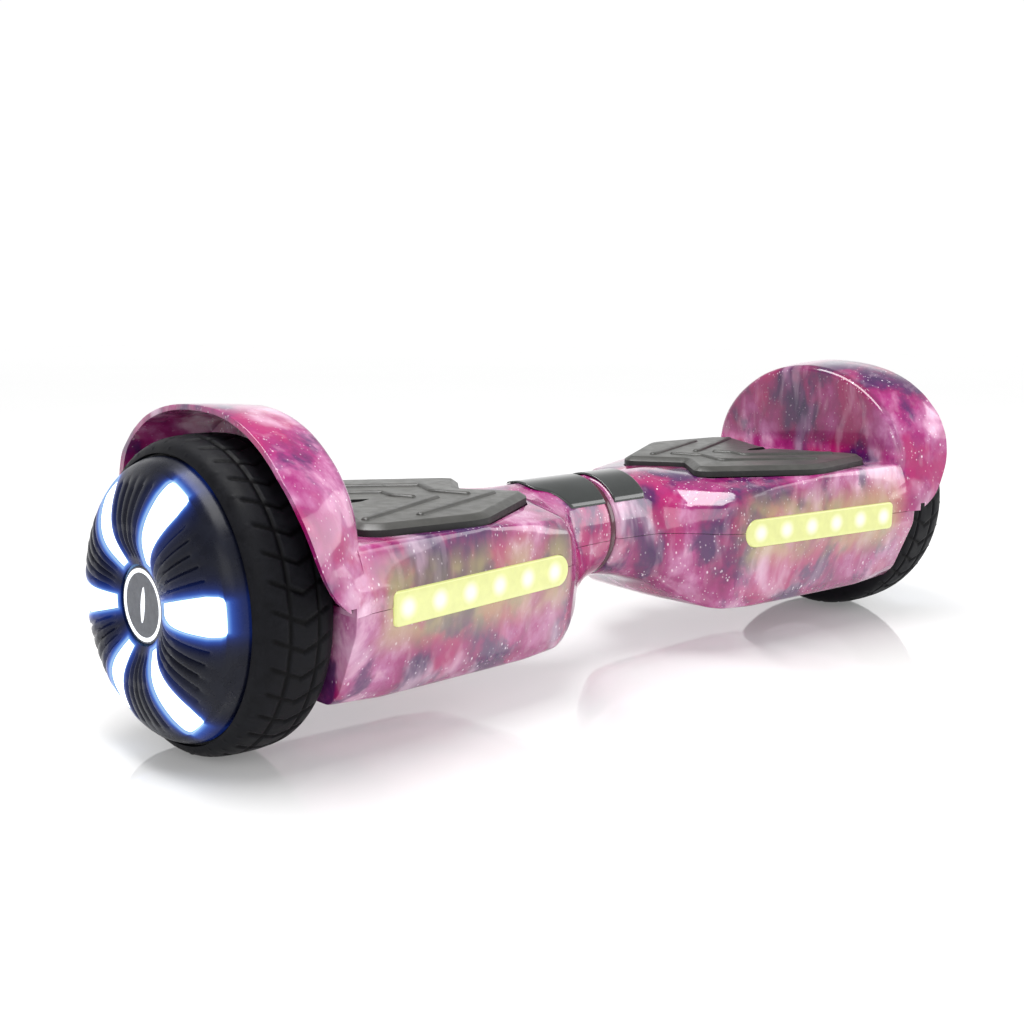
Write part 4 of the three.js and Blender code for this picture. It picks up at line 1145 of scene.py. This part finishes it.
def plain(name, key, color, color2, rough, rough2, scale, stretch=(1, 1, 1), bump=0.0, dist=0.0003, metal=0.0, coat=0.0, bscale=None):
    """two close tones mixed by a noise of the right grain, with its own roughness variation"""
    t = Mat(name)
    v = t.map(stretch)
    f = t.noise(v, scale, 5, 0.6)
    t.set(Base_Color=t.ramp(f, [(0.35, color), (0.65, color2)]), Roughness=t.range(t.noise(v, scale * 2.3, 3), 0.3, 0.7, rough, rough2), Metallic=metal)
    if coat:
        t.set(Coat_Weight=coat, Coat_Roughness=0.05)
    if bump:
        t.bump(t.noise(v, bscale or scale * 3, 3, 0.6), bump, dist)
    M[key] = t.m
    return t


def all_materials():
    film()
    plain("pad_rubber", "pad_rubber", (0.052, 0.052, 0.048), (0.076, 0.075, 0.069), 0.32, 0.42, 60, bump=0.12, bscale=1500, dist=0.0002)
    # painted shade: darker copy of the pad rubber for the ribs and the chamfer
    plain("pad_shaded_rubber", "pad_shaded_rubber", (0.038, 0.038, 0.035), (0.056, 0.055, 0.051), 0.34, 0.44, 80, bump=0.12, bscale=1500, dist=0.0002)
    # painted shade: near-black copy of the pad rubber for its upright side
    plain("pad_side_shade", "pad_side_shade", (0.006, 0.006, 0.006), (0.010, 0.010, 0.0095), 0.5, 0.62, 120, bump=0.1, bscale=1500, dist=0.0002)
    # painted shade: near-black copy of the pad rubber for the recess
    plain("pad_recess_shade", "pad_recess_shade", (0.003, 0.003, 0.003), (0.006, 0.006, 0.006), 0.7, 0.85, 200)
    plain("flap_rubber", "flap_rubber", (0.018, 0.018, 0.02), (0.03, 0.03, 0.033), 0.55, 0.7, 200, bump=0.1, bscale=1800)
    plain("gloss_black", "gloss_black", (0.022, 0.025, 0.024), (0.030, 0.034, 0.033), 0.10, 0.16, 40, coat=0.6)
    plain("collar_gloss", "collar", (0.040, 0.002, 0.012), (0.080, 0.004, 0.022), 0.15, 0.25, 90, coat=0.3)
    plain("badge_grey", "badge_grey", (0.07, 0.075, 0.09), (0.10, 0.106, 0.125), 0.28, 0.4, 300, bump=0.06, bscale=2500)
    plain("cast_alloy", "cast_alloy", (0.44, 0.45, 0.47), (0.60, 0.61, 0.63), 0.42, 0.62, 150, bump=0.25, bscale=1200, metal=1.0)
    plain("steel", "steel", (0.42, 0.43, 0.45), (0.56, 0.57, 0.59), 0.22, 0.38, 90, stretch=(1, 14, 14), bump=0.1, bscale=800, metal=1.0)
    plain("cable_sleeve", "cable", (0.012, 0.012, 0.013), (0.03, 0.03, 0.032), 0.5, 0.7, 300, stretch=(3, 1, 1), bump=0.3, bscale=1500)
    plain("nylon", "bushing", (0.70, 0.68, 0.62), (0.80, 0.78, 0.72), 0.35, 0.5, 120, bump=0.08, bscale=1400)
    plain("battery_wrap", "battery", (0.02, 0.09, 0.30), (0.035, 0.13, 0.40), 0.18, 0.34, 26, bump=0.3, bscale=120, dist=0.0008, coat=0.3)
    t = Mat("tyre_rubber")
    g = t.attr("groove")
    f = t.noise(t.map(), 140, 5, 0.65)
    # painted shade: the groove floors are darker than the tread
    t.set(Base_Color=t.mix(g, t.ramp(f, [(0.3, (0.0042, 0.0043, 0.0056)), (0.7, (0.0088, 0.0090, 0.0115))]), (0.0015, 0.0015, 0.002)),
          Roughness=t.range(f, 0.3, 0.7, 0.42, 0.58), Specular_IOR_Level=0.08)
    t.bump(t.noise(t.map(), 900, 4, 0.7), 0.12, 0.0003)
    M["tyre"] = t.m
    t = Mat("trim_cover")
    e = t.attr("edge_mm")
    f = t.noise(t.map(), 120, 4, 0.6)
    base = t.ramp(f, [(0.3, (0.0032, 0.0038, 0.0080)), (0.7, (0.0062, 0.0072, 0.0135))])
    # painted light: the cover's own surface glows blue near the window edges, standing in for light spilt from the
    # windows
    painted_spill_glow = t.ramp(t.math("DIVIDE", e, 16.0), [(0.0, (0.40, 0.64, 1.0)), (0.04, (0.10, 0.30, 0.95)), (0.10, (0.016, 0.065, 0.45)), (0.24, (0.002, 0.009, 0.075)), (0.55, (0.0004, 0.0016, 0.014)), (1.0, (0, 0, 0))], "B_SPLINE")
    t.set(Base_Color=base, Roughness=t.range(f, 0.3, 0.7, 0.24, 0.34), Emission_Color=painted_spill_glow, Emission_Strength=0.8, Specular_IOR_Level=0.17)
    t.bump(t.noise(t.map(), 1400, 3, 0.6), 0.05, 0.0002)
    M["trim"] = t.m
    t = Mat("window_light")
    e = t.attr("edge_mm")
    col = t.ramp(t.math("DIVIDE", e, 6.0), [(0.0, (0.30, 0.55, 1.0)), (0.09, (0.62, 0.80, 1.0)), (0.24, (0.95, 0.98, 1.0)), (1.0, (1, 1, 1))])
    t.set(Base_Color=(0.6, 0.7, 0.8), Roughness=t.range(t.noise(t.map(), 300), 0.3, 0.7, 0.25, 0.4), Emission_Color=col, Emission_Strength=2.2)
    M["window"] = t.m
    t = Mat("ring_light")
    f = t.noise(t.map(), 400)
    t.set(Base_Color=(0.8, 0.82, 0.84), Roughness=0.3, Emission_Color=t.ramp(f, [(0.3, (0.88, 0.92, 0.97)), (0.7, (0.97, 0.98, 1.0))]), Emission_Strength=0.75)
    M["ring_light"] = t.m
    # lamps: a milky bar with soft round light points behind it
    def lamp(name, key, first, pitch, r0, r1, body, core, base, strength):
        t = Mat(name)
        X, Y, Z = t.xyz()[0:3]
        u = t.math("DIVIDE", t.math("SUBTRACT", t.math("ABSOLUTE", X), (first - pitch / 2) * S), pitch * S)
        fx = t.math("MULTIPLY", t.math("SUBTRACT", t.math("FRACT", u), 0.5), pitch)
        fz = t.math("MULTIPLY", t.math("SUBTRACT", Z, LAMP_Z * S), 1000.0)
        d = t.math("SQRT", t.math("ADD", t.math("MULTIPLY", fx, fx), t.math("MULTIPLY", fz, fz)))
        dot = t.range(d, r1, r0, 0, 1)
        f = t.noise(t.map(), 160, 3)
        em = t.mix(dot, t.ramp(f, [(0.3, body), (0.7, tuple(min(1, c * 1.12) for c in body))]), core)
        t.set(Base_Color=base, Roughness=0.22, Emission_Color=em, Emission_Strength=strength, Coat_Weight=0.4, Coat_Roughness=0.05)
        M[key] = t.m
    lamp("lamp_front", "lamp_front", 90.5, 22.76, 1.4, 7.4, (0.62, 0.65, 0.25), (0.98, 0.98, 0.86), (0.16, 0.16, 0.06), 0.95)
    lamp("lamp_rear", "lamp_rear", 88.0, 16.8, 1.6, 4.6, (0.80, 0.035, 0.02), (1.0, 0.62, 0.48), (0.25, 0.01, 0.01), 0.95)
    # winding: copper turns over a dark laminated core
    t = Mat("stator_winding")
    r = t.noise(t.map((1, 1, 1)), 260, 4)
    wv = t.n("ShaderNodeTexWave", wave_type="BANDS", bands_direction="X")
    t.put(wv.inputs["Vector"], t.map())
    wv.inputs["Scale"].default_value = 220
    wv.inputs["Distortion"].default_value = 1.5
    t.set(Base_Color=t.mix(wv.outputs["Fac"], t.ramp(r, [(0.3, (0.30, 0.10, 0.03)), (0.7, (0.52, 0.20, 0.07))]), (0.12, 0.05, 0.03)), Metallic=0.7, Roughness=0.35)
    t.bump(wv.outputs["Fac"], 0.5, 0.0004)
    M["winding"] = t.m
    t = Mat("solder_mask")
    d, c = t.voronoi(t.map(), 260)
    tr = t.n("ShaderNodeTexBrick")
    t.put(tr.inputs["Vector"], t.map())
    tr.inputs["Scale"].default_value = 90
    tr.inputs["Color1"].default_value = (0.01, 0.10, 0.035, 1)
    tr.inputs["Color2"].default_value = (0.015, 0.14, 0.05, 1)
    tr.inputs["Mortar"].default_value = (0.02, 0.20, 0.08, 1)
    col = t.mix(t.range(d, 0.12, 0.06, 0, 1), tr.outputs["Color"], (0.65, 0.62, 0.50))
    t.set(Base_Color=col, Roughness=0.3)
    M["circuit_board"] = t.m
    plain("heat_sink", "heat_sink", (0.06, 0.16, 0.09), (0.10, 0.22, 0.13), 0.3, 0.5, 140, bump=0.2, bscale=700, metal=0.3)
    plain("socket_shell", "wheel_trim", (0.012, 0.012, 0.014), (0.025, 0.025, 0.028), 0.35, 0.5, 200, bump=0.08, bscale=1800)


all_materials()


# ------------------------------------------------------------------ assembly
def place(o, body, nodes, mat=None):
    # rounded edges are held to the frame's own outer box
    co = np.empty(3 * len(o.data.vertices))
    o.data.vertices.foreach_get("co", co)
    co = np.clip(co.reshape(-1, 3), np.array(CAD_BOX[0]), np.array(CAD_BOX[1]))
    o.data.vertices.foreach_set("co", co.ravel())
    o.data.update()
    if mat is not None:
        o.data.materials.clear()
        o.data.materials.append(M[mat])
    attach(o, body)
    if nodes:
        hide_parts(*nodes)
    return o


def pair(o, base, kind, node, mat=None):
    """o is the +X piece; the -X one is its mirror image. kind: half, wheel or pad."""
    other = mirrored(o, base + "_left")
    o.name = base + "_right"
    place(o, "right_" + kind, [node + "_right"], mat)
    place(other, "left_" + kind, [node + "_left"], mat)


# the two halves carry the same fender turned half round: its wide side is the rear on the left, the front on the right
_p = build_upper(1)
up_left = mirrored(_p, "shell_top_left")
bpy.data.objects.remove(_p)
up_right = build_upper(-1)
up_right.name = "shell_top_right"
place(up_left, "left_half", ["upper_shell_left"], "shell")
place(up_right, "right_half", ["upper_shell_right"], "shell")
lo = build_lower()
lo_left = mirrored(lo, "shell_base_left")
add_services(lo)
lo.name = "shell_base_right"
place(lo, "right_half", ["lower_shell_right"], "shell")
place(lo_left, "left_half", ["lower_shell_left"], "shell")

pair(lamp_lens("front_lens", -1), "front_lens", "half", "front_lamp_lens", "lamp_front")
pair(lamp_lens("rear_lens", 1), "rear_lens", "half", "rear_lamp_lens", "lamp_rear")
place(build_pad("tread_pad_right", -1), "right_pad", ["foot_pad_right"])
_p = build_pad("pad_tmp", 1)
_q = mirrored(_p, "tread_pad_left")
bpy.data.objects.remove(_p)
place(_q, "left_pad", ["foot_pad_left"])

place(build_cap("neck_plate_right", 32, [[4, 29], [29, 29], [32, 25]]), "right_half", ["neck_cap_right"], "gloss_black")
_p = build_cap("cap_tmp", 52, [[4, 29], [31, 29], [42, 17], [50, 13], [52, 10]])
_q = mirrored(_p, "neck_plate_left")
bpy.data.objects.remove(_p)
place(_q, "left_half", ["neck_cap_left"], "gloss_black")
place(build_collar(), "right_half", ["pivot_collar"], "collar")

pair(build_tyre(), "tyre_skin", "wheel", "tyre", "tyre")
pair(build_cover(), "wheel_trim", "wheel", "wheel_cover", "trim")
pair(build_petals(), "wheel_windows", "wheel", "wheel_light", "window")
pair(build_badge(), "hub_badge_face", "wheel", "hub_badge")

place(build_flap(), "charge_flap", ["charge_flap"])
place(build_button(), "power_button", ["power_button"])

# what stays of the CAD: the working parts inside, and the socket
SLOT_MATERIAL = {"cast_alloy": "cast_alloy", "steel": "steel", "winding": "winding", "cable": "cable", "circuit_board": "circuit_board", "heat_sink": "heat_sink", "battery": "battery", "bushing": "bushing", "wheel_trim": "wheel_trim", "shell": "shell", "pad_rubber": "pad_rubber", "tyre": "tyre", "light_diffuser": "window", "lamp_front": "lamp_front", "lamp_rear": "lamp_rear", "gloss_black": "gloss_black", "collar": "collar"}
for part in frame["record"]["subparts"]:
    node = frame["nodes"][part["node"]]
    node.data.materials.clear()
    node.data.materials.append(M[SLOT_MATERIAL[part["material_slot"]]])

# ------------------------------------------------------------------ studio
world = bpy.data.worlds.new("studio")
bpy.context.scene.world = world
world.use_nodes = True
wt = world.node_tree
bg = wt.nodes["Background"]
_g = wt.nodes.new("ShaderNodeTexCoord").outputs["Generated"]
_s = wt.nodes.new("ShaderNodeSeparateXYZ")
wt.links.new(_g, _s.inputs[0])
_r = wt.nodes.new("ShaderNodeValToRGB")
_r.color_ramp.interpolation = "EASE"
_r.color_ramp.elements[0].position, _r.color_ramp.elements[0].color = 0.20, (1.02, 1.02, 1.02, 1)
_r.color_ramp.elements[1].position, _r.color_ramp.elements[1].color = 0.62, (0.46, 0.46, 0.46, 1)
wt.links.new(_s.outputs[2], _r.inputs[0])
wt.links.new(_r.outputs[0], bg.inputs[0])
bg.inputs[1].default_value = 1.0


def area(name, loc, target, size, size_y, watts, color=(1, 1, 1)):
    l = bpy.data.lights.new(name, "AREA")
    l.shape = "RECTANGLE"
    l.size, l.size_y, l.energy, l.color = size, size_y, watts, color
    o = bpy.data.objects.new(name, l)
    bpy.context.scene.collection.objects.link(o)
    o.location = loc
    o.rotation_euler = (Vector(target) - Vector(loc)).to_track_quat("-Z", "Y").to_euler()
    return o


area("top", (-0.30, 0.05, 1.25), (0, 0, 0.1), 1.3, 0.5, 20)
area("key", (-1.1, -1.1, 0.8), (-0.1, 0, 0.08), 1.0, 0.7, 5)
area("side", (1.3, -0.9, 0.75), (0.2, 0, 0.1), 1.1, 0.9, 10)


def build_floor():
    n, R = 96, 60000.0
    V, F = [], []
    for i in range(n + 1):
        for j in range(n + 1):
            a, b = 2 * i / n - 1, 2 * j / n - 1
            V.append((R * a ** 3, R * b ** 3, 0.0))
    for i in range(n):
        for j in range(n):
            a = i * (n + 1) + j
            F.append((a, a + 1, a + n + 2, a + n + 1))
    o = new_object("floor", V, F, angle=60)
    t = Mat("floor_white")
    f = t.noise(t.map(), 3.0, 3)
    t.set(Base_Color=t.ramp(f, [(0.3, (0.74, 0.74, 0.74)), (0.7, (0.76, 0.76, 0.76))]), Roughness=0.05, Emission_Color=(1, 1, 1), Emission_Strength=0.16, IOR=1.9)
    o.data.materials.append(t.m)
    return o


build_floor()
bpy.context.scene.view_settings.view_transform = "Standard"

# ------------------------------------------------------------------ camera at the photo's viewing angle
CAM_POS, CAM_YAW, CAM_PITCH, CAM_ROLL, CAM_F = (-660.5, -663.5, 260.2), 42.3, 10.0, 0.6, 1515.1


def camera():
    cam = bpy.data.cameras.new("Camera")
    o = bpy.data.objects.new("Camera", cam)
    bpy.context.scene.collection.objects.link(o)
    yaw, pitch, roll = math.radians(CAM_YAW), math.radians(CAM_PITCH), math.radians(CAM_ROLL)
    d = Vector((math.sin(yaw) * math.cos(pitch), math.cos(yaw) * math.cos(pitch), -math.sin(pitch)))
    r = Vector((math.cos(yaw), -math.sin(yaw), 0))
    u = r.cross(d)
    r2 = r * math.cos(roll) + u * math.sin(roll)
    u2 = -r * math.sin(roll) + u * math.cos(roll)
    m = Matrix((r2, u2, -d)).transposed().to_4x4()
    m.translation = Vector(CAM_POS) * S
    o.matrix_world = m
    cam.lens = CAM_F / 1024 * 36
    cam.sensor_width = 36
    cam.clip_start, cam.clip_end = 0.01, 50
    bpy.context.scene.camera = o


camera()
